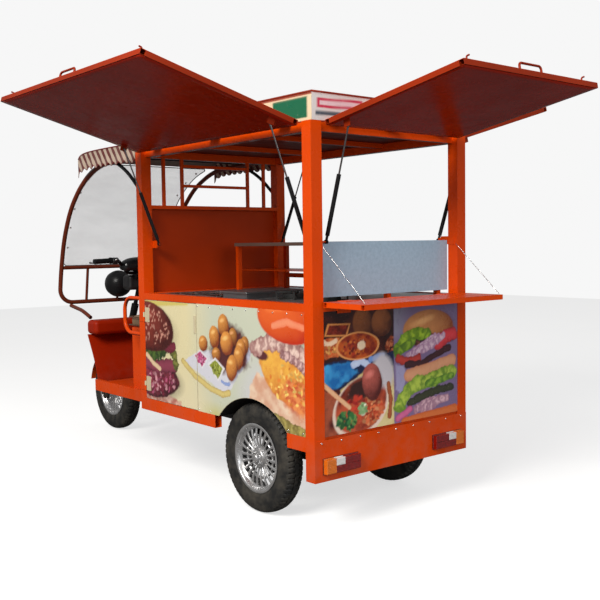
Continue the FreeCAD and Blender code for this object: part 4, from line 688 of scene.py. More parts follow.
def leaf_bowl(p):
    """A leaf-shaped bowl of sauce with an onion in it."""
    def leaf(scale):
        """The bowl's outline: an oval drawn in at its tip."""
        outline = []
        for step_index in range(28):
            t = 2 * math.pi * step_index / 28
            reach = 1 - 0.16 * max(0.0, math.cos(t)) ** 2 * math.sin(abs(t))
            outline.append((0.205 + scale * 0.127 * math.cos(t), 0.384 + scale * 0.060 * math.sin(t) * reach))
        return outline

    p.patch(leaf(1.06), (238, 158, 90), 0.004)
    p.patch(leaf(0.96), p.tint(0.03, 63, (196, 84, 26), (132, 34, 14)), 0.005)
    p.crumbs((0.19, 0.378), (0.085, 0.036), 46, 0.009, [(214, 110, 40), (160, 44, 20), (120, 24, 20)], 64)
    p.oval((0.226, 0.385), (0.023, 0.021), (244, 214, 180), 10, 0.3, 0.3, 65, 0.015)


def stew_bowl(p):
    """The large bowl and its stew on a wooden board, with a spoon and two jars."""
    p.patch([(-0.02, 0.21), (0.10, 0.17), (0.10, -0.02), (-0.02, -0.02)],
            p.tint(0.05, 66, (176, 86, 56), (86, 22, 20)), 0.01, 0.02, 67)
    p.patch([(0.095, 0.195), (0.25, 0.270), (0.33, 0.305), (0.42, 0.27), (0.46, 0.1), (0.44, -0.02),
             (0.1, -0.02)], p.tint(0.08, 68, (236, 216, 156), (214, 180, 108)), 0.008, 0.01, 69)
    p.oval((0.222, 0.105), (0.178, 0.135), (250, 222, 202), 20, 0.05)
    p.oval((0.224, 0.115), (0.163, 0.122), p.tint(0.05, 70, (206, 86, 52), (120, 34, 24)), 20, 0.08)
    p.oval((0.235, 0.188), (0.110, 0.050), (58, 26, 22), 8, 0.5, 0.2, 71)
    p.crumbs((0.28, 0.08), (0.08, 0.06), 90, 0.012, [(224, 110, 66), (196, 72, 40), (236, 150, 100)], 72)
    p.crumbs((0.19, 0.13), (0.05, 0.03), 24, 0.012, [(176, 34, 30), (204, 60, 40)], 73)
    p.crumbs((0.135, 0.055), (0.055, 0.038), 60, 0.013, [(56, 122, 62), (30, 84, 50), (120, 170, 90)], 74)
    p.crumbs((0.225, 0.100), (0.028, 0.024), 16, 0.012, [(232, 236, 206), (150, 190, 130)], 75)
    p.ribbon([(-0.01, 0.236), (0.07, 0.172), (0.150, 0.112)], 0.011, (250, 196, 150), (222, 132, 84), 0.1, 76)
    p.oval((0.365, 0.255), (0.062, 0.085), (214, 206, 212), 24, 0.4, 0.12, 77)
    p.ball((0.290, 0.212), (0.062, 0.086), (196, 96, 84), (84, 26, 24), 10, 0.05, 78, 0.04, 0.2, 0.06, 0.4)
    p.ribbon([(0.395, 0.19), (0.412, 0.12), (0.40, 0.04)], 0.013, (180, 96, 56), (120, 54, 30), 0.3, 79)


def salad_bun(p):
    """The tall salad bun on violet grey."""
    p.patch([(0.432, 0.56), (0.90, 0.56), (0.90, -0.02), (0.432, -0.02)], (134, 112, 152), 0.003)
    p.lay(np.clip((0.56 - p.u) / 0.12, 0, 1) * (p.u > 0.433) * np.clip((p.v - 0.38) / 0.05, 0, 1),
          (156, 150, 172))
    p.patch([(0.445, 0.275), (0.50, 0.265), (0.515, 0.21), (0.48, 0.13), (0.445, 0.16)], (172, 164, 202),
            0.01, 0.01, 80)
    p.ball((0.672, 0.430), (0.178, 0.090), (232, 156, 94), (150, 76, 40), 0, 0.02, 81, 0.05, 0.14, 0.03, 0.3)
    p.patch([(0.50, 0.405), (0.86, 0.395), (0.86, 0.36), (0.50, 0.36)], (52, 26, 34), 0.02, 0.03, 82)
    p.ribbon([(0.46, 0.345), (0.50, 0.385), (0.58, 0.412), (0.66, 0.402)], 0.030, (172, 204, 52),
             (76, 118, 24), 0.4, 83, 0.03, 0.07)
    p.ribbon([(0.45, 0.33), (0.51, 0.355), (0.56, 0.372)], 0.022, (150, 186, 50), (66, 104, 26), 0.4, 84,
             0.03, 0.05)
    p.ribbon([(0.74, 0.350), (0.80, 0.385), (0.85, 0.388)], 0.032, (232, 66, 74), (150, 20, 36), 0.25, 85)
    for shift in (0.0, 0.032, 0.064):
        p.ribbon([(0.53 + shift, 0.305 + shift * 0.3), (0.62 + shift, 0.345), (0.71 + shift, 0.385)], 0.019,
                 (240, 206, 222), (168, 116, 156), 0.4, 86 + int(shift * 1000), 0.02, 0.04)
    p.ribbon([(0.46, 0.300), (0.53, 0.280), (0.60, 0.292)], 0.020, (206, 66, 56), (120, 24, 28), 0.5, 89)
    p.ribbon([(0.52, 0.268), (0.62, 0.262), (0.74, 0.305), (0.82, 0.325)], 0.017, (72, 34, 42), (30, 14, 24),
             0.4, 90)
    p.ribbon([(0.53, 0.215), (0.66, 0.232), (0.84, 0.262)], 0.030, (240, 170, 128), (206, 120, 84), 0.15, 91)
    p.ribbon([(0.47, 0.085), (0.53, 0.145), (0.60, 0.172), (0.72, 0.180), (0.84, 0.208)], 0.037,
             (196, 218, 84), (94, 136, 40), 0.4, 92, 0.03, 0.09)
    p.ribbon([(0.66, 0.165), (0.75, 0.17), (0.84, 0.185)], 0.018, (150, 190, 60), (60, 110, 40), 0.4, 93,
             0.03, 0.05)
    p.ribbon([(0.54, 0.085), (0.62, 0.105), (0.74, 0.125), (0.83, 0.130)], 0.020, (64, 66, 46), (30, 30, 30),
             0.4, 94)
    for shift in (0.0, 0.045, 0.09):
        p.ribbon([(0.58 + shift, 0.045), (0.65 + shift, 0.072), (0.71 + shift, 0.078)], 0.020,
                 (240, 196, 206), (156, 104, 132), 0.4, 95 + int(shift * 100), 0.02, 0.04)
    p.ribbon([(0.455, 0.020), (0.50, 0.038), (0.54, 0.055)], 0.016, (226, 110, 160), (150, 50, 100), 0.3, 99)
    p.ribbon([(0.50, -0.005), (0.66, 0.006), (0.86, 0.016)], 0.024, (232, 120, 60), (196, 84, 40), 0.1, 100)


def print_material():
    """Glossy vinyl print: the sheet's own colour with fine ink grain, faint ripples and scuffs."""
    g = Graph("printed_vinyl")
    ink = g.add("ShaderNodeAttribute", attribute_name="ink").outputs["Color"]
    grain = g.add("ShaderNodeMix", {0: 0.10}, data_type="RGBA", blend_type="OVERLAY")
    g.feed(grain.inputs[6], ink)
    fine = g.add("ShaderNodeTexNoise", {"Scale": 480.0, "Detail": 2.0, "Vector": g.where})
    g.feed(grain.inputs[7], fine.outputs["Color"])
    scuff = g.span(g.noise(70, 6, 0.7), 0.62, 0.78)
    worn = g.mix(g.math("MULTIPLY", scuff, 0.22, clamp=True), grain.outputs[2], (0.75, 0.72, 0.66))
    g.set(base=worn, roughness=g.span(g.noise(9, 4), 0.3, 0.7, 0.22, 0.38), coat=0.4, coat_roughness=0.1,
          normal=g.bump(g.noise(11, 2), 0.10, 0.003))
    return g.material


def film(name, picture, place, body, keep=None, snap=None):
    """A printed sheet on a panel. place makes a point of (u, v), keep picks points, snap moves rim points."""
    rows, columns = picture.u.shape
    u, v = picture.u.ravel(), picture.v.ravel()
    inside = np.ones(u.shape, bool) if keep is None else keep(u, v)
    quads = []
    index = np.arange(rows * columns).reshape(rows, columns)
    for a, b, c, d in zip(index[:-1, :-1].ravel(), index[:-1, 1:].ravel(), index[1:, 1:].ravel(),
                          index[1:, :-1].ravel()):
        if inside[a] or inside[b] or inside[c] or inside[d]:
            quads.append((int(a), int(b), int(c), int(d)))
    if snap is not None:
        u, v = snap(u, v)
    used = sorted({corner for quad in quads for corner in quad})
    order = {old: new for new, old in enumerate(used)}
    mesh = bpy.data.meshes.new(name)
    mesh.from_pydata([place(u[i], v[i]) for i in used], [], [tuple(order[i] for i in quad) for quad in quads])
    colours = picture.colour.reshape(-1, 3)[used]
    layer = mesh.color_attributes.new("ink", "FLOAT_COLOR", "POINT")
    layer.data.foreach_set("color", np.hstack([np.clip(colours, 0, 1),
                                               np.ones((len(used), 1))]).astype(np.float32).ravel())
    sheet = bpy.data.objects.new(name, mesh)
    scene.collection.objects.link(sheet)
    mesh.materials.append(LOOKS["print"])
    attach(sheet, body)
    return sheet


# ---------------------------------------------------------------- shared mesh helpers

def new_piece(name, points, faces, material, body):
    """A smooth-shaded mesh piece."""
    mesh = bpy.data.meshes.new(name)
    mesh.from_pydata([tuple(p) for p in points], [], faces)
    mesh.validate()
    piece = bpy.data.objects.new(name, mesh)
    scene.collection.objects.link(piece)
    mesh.materials.append(material)
    mesh.shade_smooth()
    if body:
        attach(piece, body)
    return piece


def grid_faces(rows, columns, wrap_rows=False, wrap_columns=False):
    """Four-sided faces over a grid of points, joined round to its start if it wraps."""
    faces = []
    for i in range(rows if wrap_rows else rows - 1):
        for j in range(columns if wrap_columns else columns - 1):
            k, n = (i + 1) % rows, (j + 1) % columns
            faces.append((i * columns + j, i * columns + n, k * columns + n, k * columns + j))
    return faces


def behind(ahead):
    """The row's Y for a distance ahead of the body's rear face, in metres."""
    return REAR_FACE - ahead


def smooth_line(corners, count):
    """Evenly spread points on a Catmull-Rom line through the corners."""
    c = np.array(corners, float)
    c = np.vstack([2 * c[0] - c[1], c, 2 * c[-1] - c[-2]])
    fine = []
    for i in range(1, len(c) - 2):
        for t in np.linspace(0, 1, 24, endpoint=False):
            fine.append(0.5 * (2 * c[i] + (c[i + 1] - c[i - 1]) * t
                               + (2 * c[i - 1] - 5 * c[i] + 4 * c[i + 1] - c[i + 2]) * t ** 2
                               + (3 * c[i] - c[i - 1] - 3 * c[i + 1] + c[i + 2]) * t ** 3))
    fine.append(c[-2])
    fine = np.array(fine)
    far = np.concatenate([[0], np.cumsum(np.linalg.norm(np.diff(fine, axis=0), axis=1))])
    where = np.linspace(0, far[-1], count)
    return np.stack([np.interp(where, far, fine[:, k]) for k in range(fine.shape[1])], axis=1), far[-1]


def end_faces(rows, sides):
    """The two end faces of a tube of rings."""
    return [tuple(range(sides))[::-1], tuple((rows - 1) * sides + k for k in range(sides))]


def tube_piece(name, line, radius, material, body, closed=False, sides=10):
    """A round tube along a line of points, its radius a number or a function of the share of the way."""
    pts = [Vector(p) for p in line]
    rings = []
    count = len(pts)
    for i, p in enumerate(pts):
        before = pts[(i - 1) % count] if (closed or i > 0) else p
        after = pts[(i + 1) % count] if (closed or i < count - 1) else p
        forward = (after - before).normalized()
        side = forward.cross(Vector((0.13, 0.31, 0.94))).normalized()
        up = side.cross(forward)
        r = radius(i / max(1, count - 1)) if callable(radius) else radius
        rings.extend(p + r * (math.cos(a) * side + math.sin(a) * up)
                     for a in (2 * math.pi * k / sides for k in range(sides)))
    faces = grid_faces(count, sides, closed, True)
    if not closed:
        faces += end_faces(count, sides)
    return new_piece(name, rings, faces, material, body)


def lathe(profile, segments, bump=None):
    """A closed outline (x, r) turned about X. bump moves a point by its angle and place."""
    points = []
    for step in range(segments):
        angle = 2 * math.pi * step / segments
        for x, r in profile:
            rr = r + (bump(angle, x, r) if bump else 0.0)
            points.append((x, rr * math.cos(angle), rr * math.sin(angle)))
    return points, grid_faces(segments, len(profile), True, True)


def merged(name, parts, material, body, centre, turned=False):
    """Several (points, faces) parts as one piece at a wheel's centre, facing the other way if turned."""
    points, faces = [], []
    for part_points, part_faces in parts:
        offset = len(points)
        points.extend(part_points)
        faces.extend(tuple(index + offset for index in face) for face in part_faces)
    turn = -1 if turned else 1
    moved = [(centre[0] + turn * x, centre[1] + turn * y, centre[2] + z) for x, y, z in points]
    return new_piece(name, moved, faces, material, body)


# ---------------------------------------------------------------- wheels

TYRE_RADIUS, TYRE_HALF_WIDTH, TREAD_FOLDS = 0.2630, 0.0497, 60


def tyre_outline():
    """One side of the tyre, from its bead to its middle: a bulging wall, then a crown that is nearly flat."""
    bulge = 0.209
    wall = [(TYRE_HALF_WIDTH - 3.5 * (r - bulge) ** 2 - 500 * (r - bulge) ** 4, r)
            for r in np.linspace(0.156, 0.2508, 12)]
    across = (0.0380, 0.0330, 0.0280, 0.0230, 0.0180, 0.0150, 0.0135, 0.0110, 0.0095, 0.0050)
    return wall + [(x, TYRE_RADIUS - 2.7 * x ** 2 - 2300 * x ** 4) for x in across]


def tyre_part():
    """A tyre turned about X, with its tread blocks, grooves and ribbed walls cut by moving points."""
    half = tyre_outline()
    profile = half + [(0.0, TYRE_RADIUS)] + [(-x, r) for x, r in reversed(half)]
    segments = 6 * TREAD_FOLDS

    def bump(angle, x, r):
        """Grooves at each side of the middle rib, shoulder cuts, nicks in the rib, and raised wall rings."""
        move = 0.0
        if 0.0105 < abs(x) < 0.0140:
            move -= 0.0050
        step = angle / (2 * math.pi) * segments
        if abs(x) >= 0.0150 and r > 0.245:
            if (step + 60 * (abs(x) - 0.015)) % 6 < 1.4:
                move -= 0.0052 if r > 0.25 else 0.003
        elif abs(x) < 0.0100 and (step + 3) % 6 < 1.0:
            move -= 0.0030
        if 0.184 < r < 0.196:
            move += 0.0007
        if 0.222 < r < 0.240:
            move += 0.0009 * math.sin(angle * 90)
        return move

    return lathe(profile, segments, bump)


def rim_parts():
    """A silver wheel: rolled flanges, a dished face of crowned fins, a hub with its cap and four nuts."""
    barrel = [(0.0460, 0.1575), (0.0462, 0.1640), (0.0448, 0.1668), (0.0430, 0.1660), (0.0420, 0.1600),
              (0.0400, 0.1552), (-0.0400, 0.1552), (-0.0420, 0.1600), (-0.0430, 0.1660), (-0.0448, 0.1668),
              (-0.0462, 0.1640), (-0.0460, 0.1575), (-0.0440, 0.1500), (-0.0300, 0.1490), (0.0060, 0.1480),
              (0.0120, 0.1400), (0.0200, 0.1388), (0.0250, 0.1425), (0.0300, 0.1480), (0.0400, 0.1500),
              (0.0440, 0.1530)]
    hub = [(-0.0170, 0.0150), (-0.0170, 0.0400), (0.0060, 0.0420), (0.0080, 0.0560), (0.0120, 0.0600),
           (0.0165, 0.0580), (0.0190, 0.0520), (0.0200, 0.0450), (0.0300, 0.0430), (0.0330, 0.0400),
           (0.0340, 0.0350), (0.0340, 0.0150)]
    ring = [(0.0125, 0.0925), (0.0165, 0.0940), (0.0205, 0.0965), (0.0220, 0.0995), (0.0205, 0.1020),
            (0.0165, 0.1040), (0.0125, 0.1050)]
    cap = [(0.0300, 0.0205), (0.0470, 0.0205), (0.0505, 0.0185), (0.0525, 0.0140), (0.0535, 0.0080),
           (0.0537, 0.0010), (0.0515, 0.0010), (0.0515, 0.0080), (0.0500, 0.0150), (0.0480, 0.0185),
           (0.0300, 0.0190)]
    fins = 22
    parts = [lathe(barrel, 132), lathe(hub, 72), lathe(ring, 132)]
    parts += [fin(2 * math.pi * index / fins) for index in range(fins)]
    parts.append(lathe(cap, 48))
    for index in range(4):
        angle = math.pi / 2 * index + math.pi / 4
        parts.append(hex_nut((0.0335, 0.0305 * math.cos(angle), 0.0305 * math.sin(angle)), 0.0062, 0.0085))
    return parts


def fin(angle):
    """A crowned fin from the hub out to the rim, wider at its outer end."""
    stations = 9
    section = [(-1.0, -0.55), (-0.92, 0.35), (-0.45, 0.92), (0.0, 1.05), (0.45, 0.92), (0.92, 0.35),
               (1.0, -0.55), (0.0, -0.8)]
    points = []
    for t in np.linspace(0, 1, stations):
        y = 0.052 + 0.091 * t
        crown = 0.0165 + 0.0065 * math.sin(math.pi * t) + 0.003 * t
        for across, out in section:
            z = across * (0.0035 + 0.0052 * t)
            points.append((crown + 0.0042 * out, y * math.cos(angle) - z * math.sin(angle),
                           y * math.sin(angle) + z * math.cos(angle)))
    return points, grid_faces(stations, len(section), False, True) + end_faces(stations, len(section))


def hex_nut(place, radius, height):
    """A chamfered nut whose axis is X."""
    points = []
    for x, scale in ((0, 1.0), (height * 0.75, 1.0), (height, 0.84), (height, 0.45), (height + 0.002, 0.40)):
        for k in range(6):
            a = math.pi / 3 * k
            points.append((place[0] + x, place[1] + radius * scale * math.cos(a),
                           place[2] + radius * scale * math.sin(a)))
    return points, grid_faces(5, 6, False, True) + end_faces(5, 6)


def wheels():
    """Each wheel's tyre and rim, on its own body, with the right rear wheel turned to face outwards."""
    for name in ("rear_left", "rear_right", "front"):
        low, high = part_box(name + "_tyre")
        for part, stands_for, shape, slot, degrees in (("_treaded_tyre", "_tyre", [tyre_part()], "tread", 40),
                                                       ("_finned_rim", "_rim", rim_parts(), "alloy", 38)):
            piece = merged(name + part, shape, LOOKS[slot], name + "_wheel", (low + high) / 2,
                           name == "rear_right")
            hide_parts(name + stands_for)
            sharpen(piece, degrees)


def sharpen(piece, degrees):
    """Smooth shading, but with corners sharper than this left crisp."""
    piece.data.shade_smooth()
    mesh = bmesh.new()
    mesh.from_mesh(piece.data)
    for edge in mesh.edges:
        if len(edge.link_faces) == 2 and edge.calc_face_angle(0) > math.radians(degrees):
            edge.smooth = False
    mesh.to_mesh(piece.data)
    mesh.free()


# ---------------------------------------------------------------- canopy

CANOPY_LINE = [(1.492, 1.838), (1.620, 1.843), (1.800, 1.845), (1.980, 1.844), (2.100, 1.839), (2.165, 1.826),
               (2.195, 1.802)]


def cloth_material(name, striped):
    """Woven awning cloth. The valance is striped dark red and cream, and the top is greyed cream."""
    g = Graph(name)
    place = g.axes()
    warp = g.math("SINE", g.math("MULTIPLY", place["Y"], 5200))
    weft = g.math("SINE", g.math("MULTIPLY", g.math("ADD", place["X"], place["Z"]), 5200))
    weave = g.math("MULTIPLY", warp, weft)
    slant = g.math("ADD", place["Y"], g.math("MULTIPLY", place["Z"], 0.75))
    wave = g.math("SINE", g.math("MULTIPLY", slant, 2 * math.pi / 0.062))
    stripes = g.span(g.math("ADD", wave, g.math("MULTIPLY", g.noise(30, 2), 0.25)), -0.02, 0.16)
    cream, red = (0.56, 0.43, 0.33), (0.120, 0.006, 0.004)
    colour = g.mix(stripes, red, cream)
    if not striped:
        colour = g.mix(g.math("MULTIPLY", stripes, 0.35, clamp=True), (0.30, 0.255, 0.215),
                       (0.24, 0.12, 0.10))
    fade = g.span(g.noise(6, 5), 0.35, 0.75)
    faded = g.mix(g.math("MULTIPLY", fade, 0.12, clamp=True), colour, (0.34, 0.27, 0.22))
    fine = g.mix(g.span(weave, -1, 1, 0.0, 0.16), faded, (0.05, 0.03, 0.03))
    g.set(base=fine, roughness=0.85, sheen=0.25, sheen_roughness=0.5, specular=0.2,
          normal=g.bump(weave, 0.35, 0.0005, g.bump(g.noise(14, 4), 0.3, 0.003)))
    return g.material


CANOPY_HALF, SCALLOP = 0.498, 0.062
CANOPY_BOWS = (1.560, 1.860, 2.080)


def canopy_top():
    """The awning's top, one curved sheet that sags a little between its bows."""
    line, length = smooth_line(CANOPY_LINE, 46)
    across = 49
    points = []
    for ahead, z in line:
        gap = min(abs(ahead - bow) for bow in CANOPY_BOWS)
        sag_along = 0.006 * min(1.0, gap / 0.12)
        for share in np.linspace(-1, 1, across):
            crown = sag_along * (1 - share ** 4)
            ripple = 0.0012 * math.sin(share * 21 + ahead * 9) * (1 - abs(share))
            roll = -0.006 * max(0.0, abs(share) - 0.97) / 0.03
            points.append((share * CANOPY_HALF, behind(ahead), z - crown + ripple * min(1, gap * 10) + roll))
    top = new_piece("canopy_top", points, grid_faces(len(line), across), LOOKS["canopy"], "cart")
    thicken(top, 0.0014)
    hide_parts("cab_canopy")
    return top, length


def cloth_tube(name, line, radius, sides=10):
    """A run of the awning's binding."""
    return tube_piece(name, line, radius, LOOKS["piping"], "cart", sides=sides)


def valance(side, name, length):
    """A pleated, scalloped skirt along one side of the awning, with piping above it and a bound hem below."""
    dense, _ = smooth_line(CANOPY_LINE, 240)
    rows = 12
    cloth, hem = [], []
    for (ahead, z), run in zip(dense, np.linspace(0, length, len(dense))):
        deep = 0.088 + 0.018 * abs(math.sin(math.pi * run / SCALLOP))
        pleat = 0.0026 * math.sin(2 * math.pi * run / SCALLOP) + 0.0012 * math.sin(run * 41)
        drop = [(side * (CANOPY_HALF + 0.0025 + pleat * t), behind(ahead), z + 0.0015 - deep * t)
                for t in np.linspace(0, 1, rows)]
        cloth += drop
        hem.append(drop[-1])
    skirt = new_piece(name + "_valance", cloth, grid_faces(len(dense), rows), LOOKS["striped_cloth"], "cart")
    thicken(skirt, 0.0012)
    edge = [(side * (CANOPY_HALF + 0.0032), behind(ahead), z - 0.001) for ahead, z in dense[::4]]
    return [skirt, cloth_tube(name + "_canopy_piping", edge, 0.0036),
            cloth_tube(name + "_valance_hem", hem, 0.0019, 8)]


def canopy():
    """The cab's awning: its top, two side skirts and a hem at each end."""
    top, length = canopy_top()
    skirts = valance(1, "left", length) + valance(-1, "right", length)
    for end, (ahead, z) in (("front", CANOPY_LINE[-1]), ("rear", CANOPY_LINE[0])):
        bar = [(x, behind(ahead), z - 0.002) for x in np.linspace(-CANOPY_HALF, CANOPY_HALF, 30)]
        skirts.append(cloth_tube(end + "_canopy_hem", bar, 0.0042))


def thicken(piece, thickness):
    """Give a sheet its thickness, half to each side."""
    made = piece.modifiers.new("thickness", "SOLIDIFY")
    made.thickness = thickness
    made.offset = 0


# ---------------------------------------------------------------- flap linings

def flap_lining(side, name, body):
    """The glossy inner sheet under a flap's frame, slightly dished between the frame's tubes. Its dark orange
    finish is painted shade.
    """
    skin = np.array([v.co for v in nodes[name + "_flap_skin"].data.vertices])
    across = int(side == 0)
    along = 1 - across
    sign = 1 if side >= 0 else -1
    out = skin[:, across] * sign
    root, tip = out.min(), out.max()
    rise = (skin[out > tip - 0.01, 2].mean() - skin[out < root + 0.01, 2].mean()) / (tip - root)
    normal = Vector((-rise * sign * (across == 0), -rise * (across == 1), 1)).normalized()
    depth = 0.0232
    near, far = skin[:, along].min() + 0.004, skin[:, along].max() - 0.004
    base_z = skin[out < root + 0.01, 2].min()
    points = []
    rows, columns = 30, 40
    for i in range(rows):
        s = (root + 0.004) + (tip - root - 0.008) * i / (rows - 1)
        for j in range(columns):
            t = near + (far - near) * j / (columns - 1)
            lengthwise, crosswise = math.pi * j / (columns - 1), math.pi * i / (rows - 1)
            dish = 0.0016 * math.sin(crosswise) * math.sin(lengthwise * 3) ** 2
            place = [0.0, 0.0, base_z + rise * (s - root)]
            place[across], place[along] = s * sign, t
            points.append(Vector(place) - normal * (depth - dish))
    lining = new_piece(name + "_flap_lining", points, grid_faces(rows, columns), LOOKS["flap_lining"], body)
    thicken(lining, 0.0008)


# ---------------------------------------------------------------- seat

def pad_mesh(centre, size):
    """A slightly smaller rounded block where the seat pad goes, remeshed evenly for the cloth."""
    mesh = bmesh.new()
    bmesh.ops.create_cube(mesh, size=1.0)
    bmesh.ops.scale(mesh, vec=(size.x - 0.018, size.y - 0.018, size.z - 0.016), verts=mesh.verts)
    bmesh.ops.bevel(mesh, geom=mesh.edges[:] + mesh.verts[:], offset=0.016, segments=4, affect="EDGES",
                    profile=0.6)
    bmesh.ops.translate(mesh, vec=centre - Vector((0, 0, 0.003)), verts=mesh.verts)
    data = bpy.data.meshes.new("seat_pad")
    mesh.to_mesh(data)
    mesh.free()
    pad = bpy.data.objects.new("seat_pad", data)
    scene.collection.objects.link(pad)
    data.materials.append(LOOKS["vinyl"])
    bpy.context.view_layer.objects.active = pad
    for other in bpy.context.selected_objects:
        other.select_set(False)
    pad.select_set(True)
    remesh = pad.modifiers.new("remesh", "REMESH")
    remesh.mode = "VOXEL"
    remesh.voxel_size = 0.009
    bpy.ops.object.modifier_apply(modifier="remesh")
    return pad


def swell(pad, furthest):
    """Blow the pad up as cloth under pressure, and return its points, none moved further than this."""
    start = np.array([v.co for v in pad.data.vertices])
    cloth = pad.modifiers.new("cloth", "CLOTH")
    cloth.settings.use_pressure = True
    cloth.settings.uniform_pressure_force = 4
    cloth.settings.effector_weights.gravity = 0
    for step in range(1, 17):
        scene.frame_set(step)
    bpy.ops.object.modifier_apply(modifier="cloth")
    scene.frame_set(1)
    move = np.array([v.co for v in pad.data.vertices]) - start
    return start + move * np.minimum(1, furthest / np.maximum(np.linalg.norm(move, axis=1, keepdims=True),
                                                              1e-9))


def sew(points, low, high):
    """Crown the pad's top and draw it down along four seams across it."""
    size, centre = high - low, (low + high) / 2
    share = (points - np.array(centre)) / (np.array(size) / 2)
    crown = np.clip(1 - share[:, 0] ** 6, 0, 1) * np.clip(1 - share[:, 1] ** 4, 0, 1)
    top = share[:, 2] > 0.2
    points[:, 2] += np.where(top, 0.004 * crown - 0.002, 0)
    for seam in (-0.62, -0.21, 0.21, 0.62):
        near = np.exp(-((share[:, 0] - seam) * size.x / 2 / 0.007) ** 2)
        points[:, 2] -= np.where(top, 0.006 * near * np.clip(1 - share[:, 1] ** 8, 0, 1), 0)
    points[:, 2] = np.clip(points[:, 2], low.z + 0.0004, high.z + 0.004)
    return points


def seat_piping(name, z, centre, size):
    """A round of piping along the pad's edge, with rounded corners."""
    loop = []
    hx, hy, corner = size.x / 2 - 0.003, size.y / 2 - 0.003, 0.02
    for cx, cy, start_angle in ((1, 1, 0), (-1, 1, 90), (-1, -1, 180), (1, -1, 270)):
        for k in range(7):
            a = math.radians(start_angle + 15 * k)
            loop.append((centre.x + cx * (hx - corner) + corner * math.cos(a),
                         centre.y + cy * (hy - corner) + corner * math.sin(a), z))
    tube_piece(name, loop, 0.0034, LOOKS["vinyl_piping"], "cart", True)


def cushion():
    """A vinyl seat pad: swelled by a cloth simulation, then sewn across and piped along its edges."""
    low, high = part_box("seat_cushion")
    size, centre = high - low, (low + high) / 2
    pad = pad_mesh(centre, size)
    sewn = sew(swell(pad, 0.010), low, high)
    pad.data.vertices.foreach_set("co", sewn.astype(np.float32).ravel())
    pad.data.shade_smooth()
    fine = pad.modifiers.new("fine", "SUBSURF")
    fine.levels = fine.render_levels = 1
    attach(pad, "cart")
    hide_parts("seat_cushion")
    seat_piping("seat_upper_piping", high.z - 0.014, centre, size)
    seat_piping("seat_lower_piping", low.z + 0.012, centre, size)


def vinyl(name, colour):
    """Leathery vinyl with creases, paler where it is worn."""
    g = Graph(name)
    grain = g.cells(620)
    crease = g.noise(26, 6, 0.6)
    worn = g.span(g.noise(7, 5), 0.45, 0.75)
    base = g.mix(g.math("MULTIPLY", worn, 0.5, clamp=True), colour, tuple(c * 1.9 + 0.01 for c in colour))
    g.set(base=base, roughness=g.span(worn, 0, 1, 0.42, 0.6), specular=0.45, coat=0.1,
          normal=g.bump(grain, 0.4, 0.0006, g.bump(crease, 0.25, 0.002)))
    return g.material


# ---------------------------------------------------------------- lamps, screen edge, small fittings

def lamp_material():
    """Moulded lens colours by place: red body, amber outer end, clear reversing patch, with prism ribs."""
    g = Graph("lens_colours")
    place = g.axes()
    out = g.math("ABSOLUTE", place["X"])
    amber = g.math("GREATER_THAN", out, 0.3964)
    clear = g.math("MULTIPLY", g.math("GREATER_THAN", out, 0.3444), g.math("GREATER_THAN", place["Z"], 0.308))
    clear = g.math("MULTIPLY", clear, g.math("LESS_THAN", out, 0.3964))
    red = g.mix(g.span(g.noise(60, 3), 0.3, 0.7), (0.27, 0.004, 0.003), (0.16, 0.002, 0.002))
    colour = g.mix(amber, red, (0.75, 0.17, 0.01))
    colour = g.mix(clear, colour, (0.80, 0.76, 0.74))
    tray = g.math("LESS_THAN", place["Y"], 1.1128)
    colour = g.mix(tray, colour, (0.06, 0.004, 0.004))
    ribs = g.math("SINE", g.math("MULTIPLY", place["X"], 2 * math.pi / 0.0042))
    rows = g.math("SINE", g.math("MULTIPLY", place["Z"], 2 * math.pi / 0.0065))
    g.set(base=colour, roughness=0.12, specular=0.6, coat=0.6, coat_roughness=0.05,
          normal=g.bump(g.math("ADD", ribs, rows), 0.35, 0.0009, g.rounded(0.001)))
    return g.material


SCREEN_LINE = [(2.120, 1.7810), (2.250, 1.7430), (2.360, 1.6880), (2.490, 1.5910), (2.580, 1.4740),
               (2.646, 1.3360), (2.686, 1.2080), (2.699, 1.1500)]


def windscreen():
    """The bent acrylic screen on the front of the hoop, with its rubber edge and the screws through it."""
    half, rows, columns = 0.396, 60, 25
    line, _ = smooth_line(SCREEN_LINE, rows)
    points = []
    for row, (ahead, z) in enumerate(line):
        corner = min(row, rows - 1 - row) / 3.0
        width = half - 0.028 * max(0.0, 1 - corner) ** 2
        for share in np.linspace(-1, 1, columns):
            points.append((share * width, behind(ahead) - 0.004 * (1 - share ** 2), z))
    sheet = new_piece("acrylic_screen", points, grid_faces(rows, columns), LOOKS["clear_sheet"], "cart")
    thicken(sheet, 0.0026)
    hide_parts("windscreen")
    left, right = points[::columns], points[columns - 1::columns]
    edge = left + points[(rows - 1) * columns + 1:] + right[-2::-1] + points[columns - 2:0:-1]
    tube_piece("screen_rubber", edge, 0.0030, LOOKS["grip_rubber"], "cart", True)
    screws = [points[row * columns + k] for row in range(6, rows - 4, 9) for k in (1, columns - 2)]
    dome_rivets("screen_screws", screws, (0, -0.9, 0.43), "cart", 0.007)


def lever(name, start, end):
    """A bowed hand lever that tapers from its pivot to a ball at its tip."""
    start, end = Vector(start), Vector(end)
    bow = Vector((0, -0.022, -0.008))
    line = [start.lerp(end, t) + bow * math.sin(math.pi * t) for t in np.linspace(0, 1, 22)]
    tube_piece(name, line, lambda t: 0.0062 - 0.0026 * t + 0.0034 * max(0.0, t - 0.9) * 10, LOOKS["dark_rod"],
               "steering", sides=12)


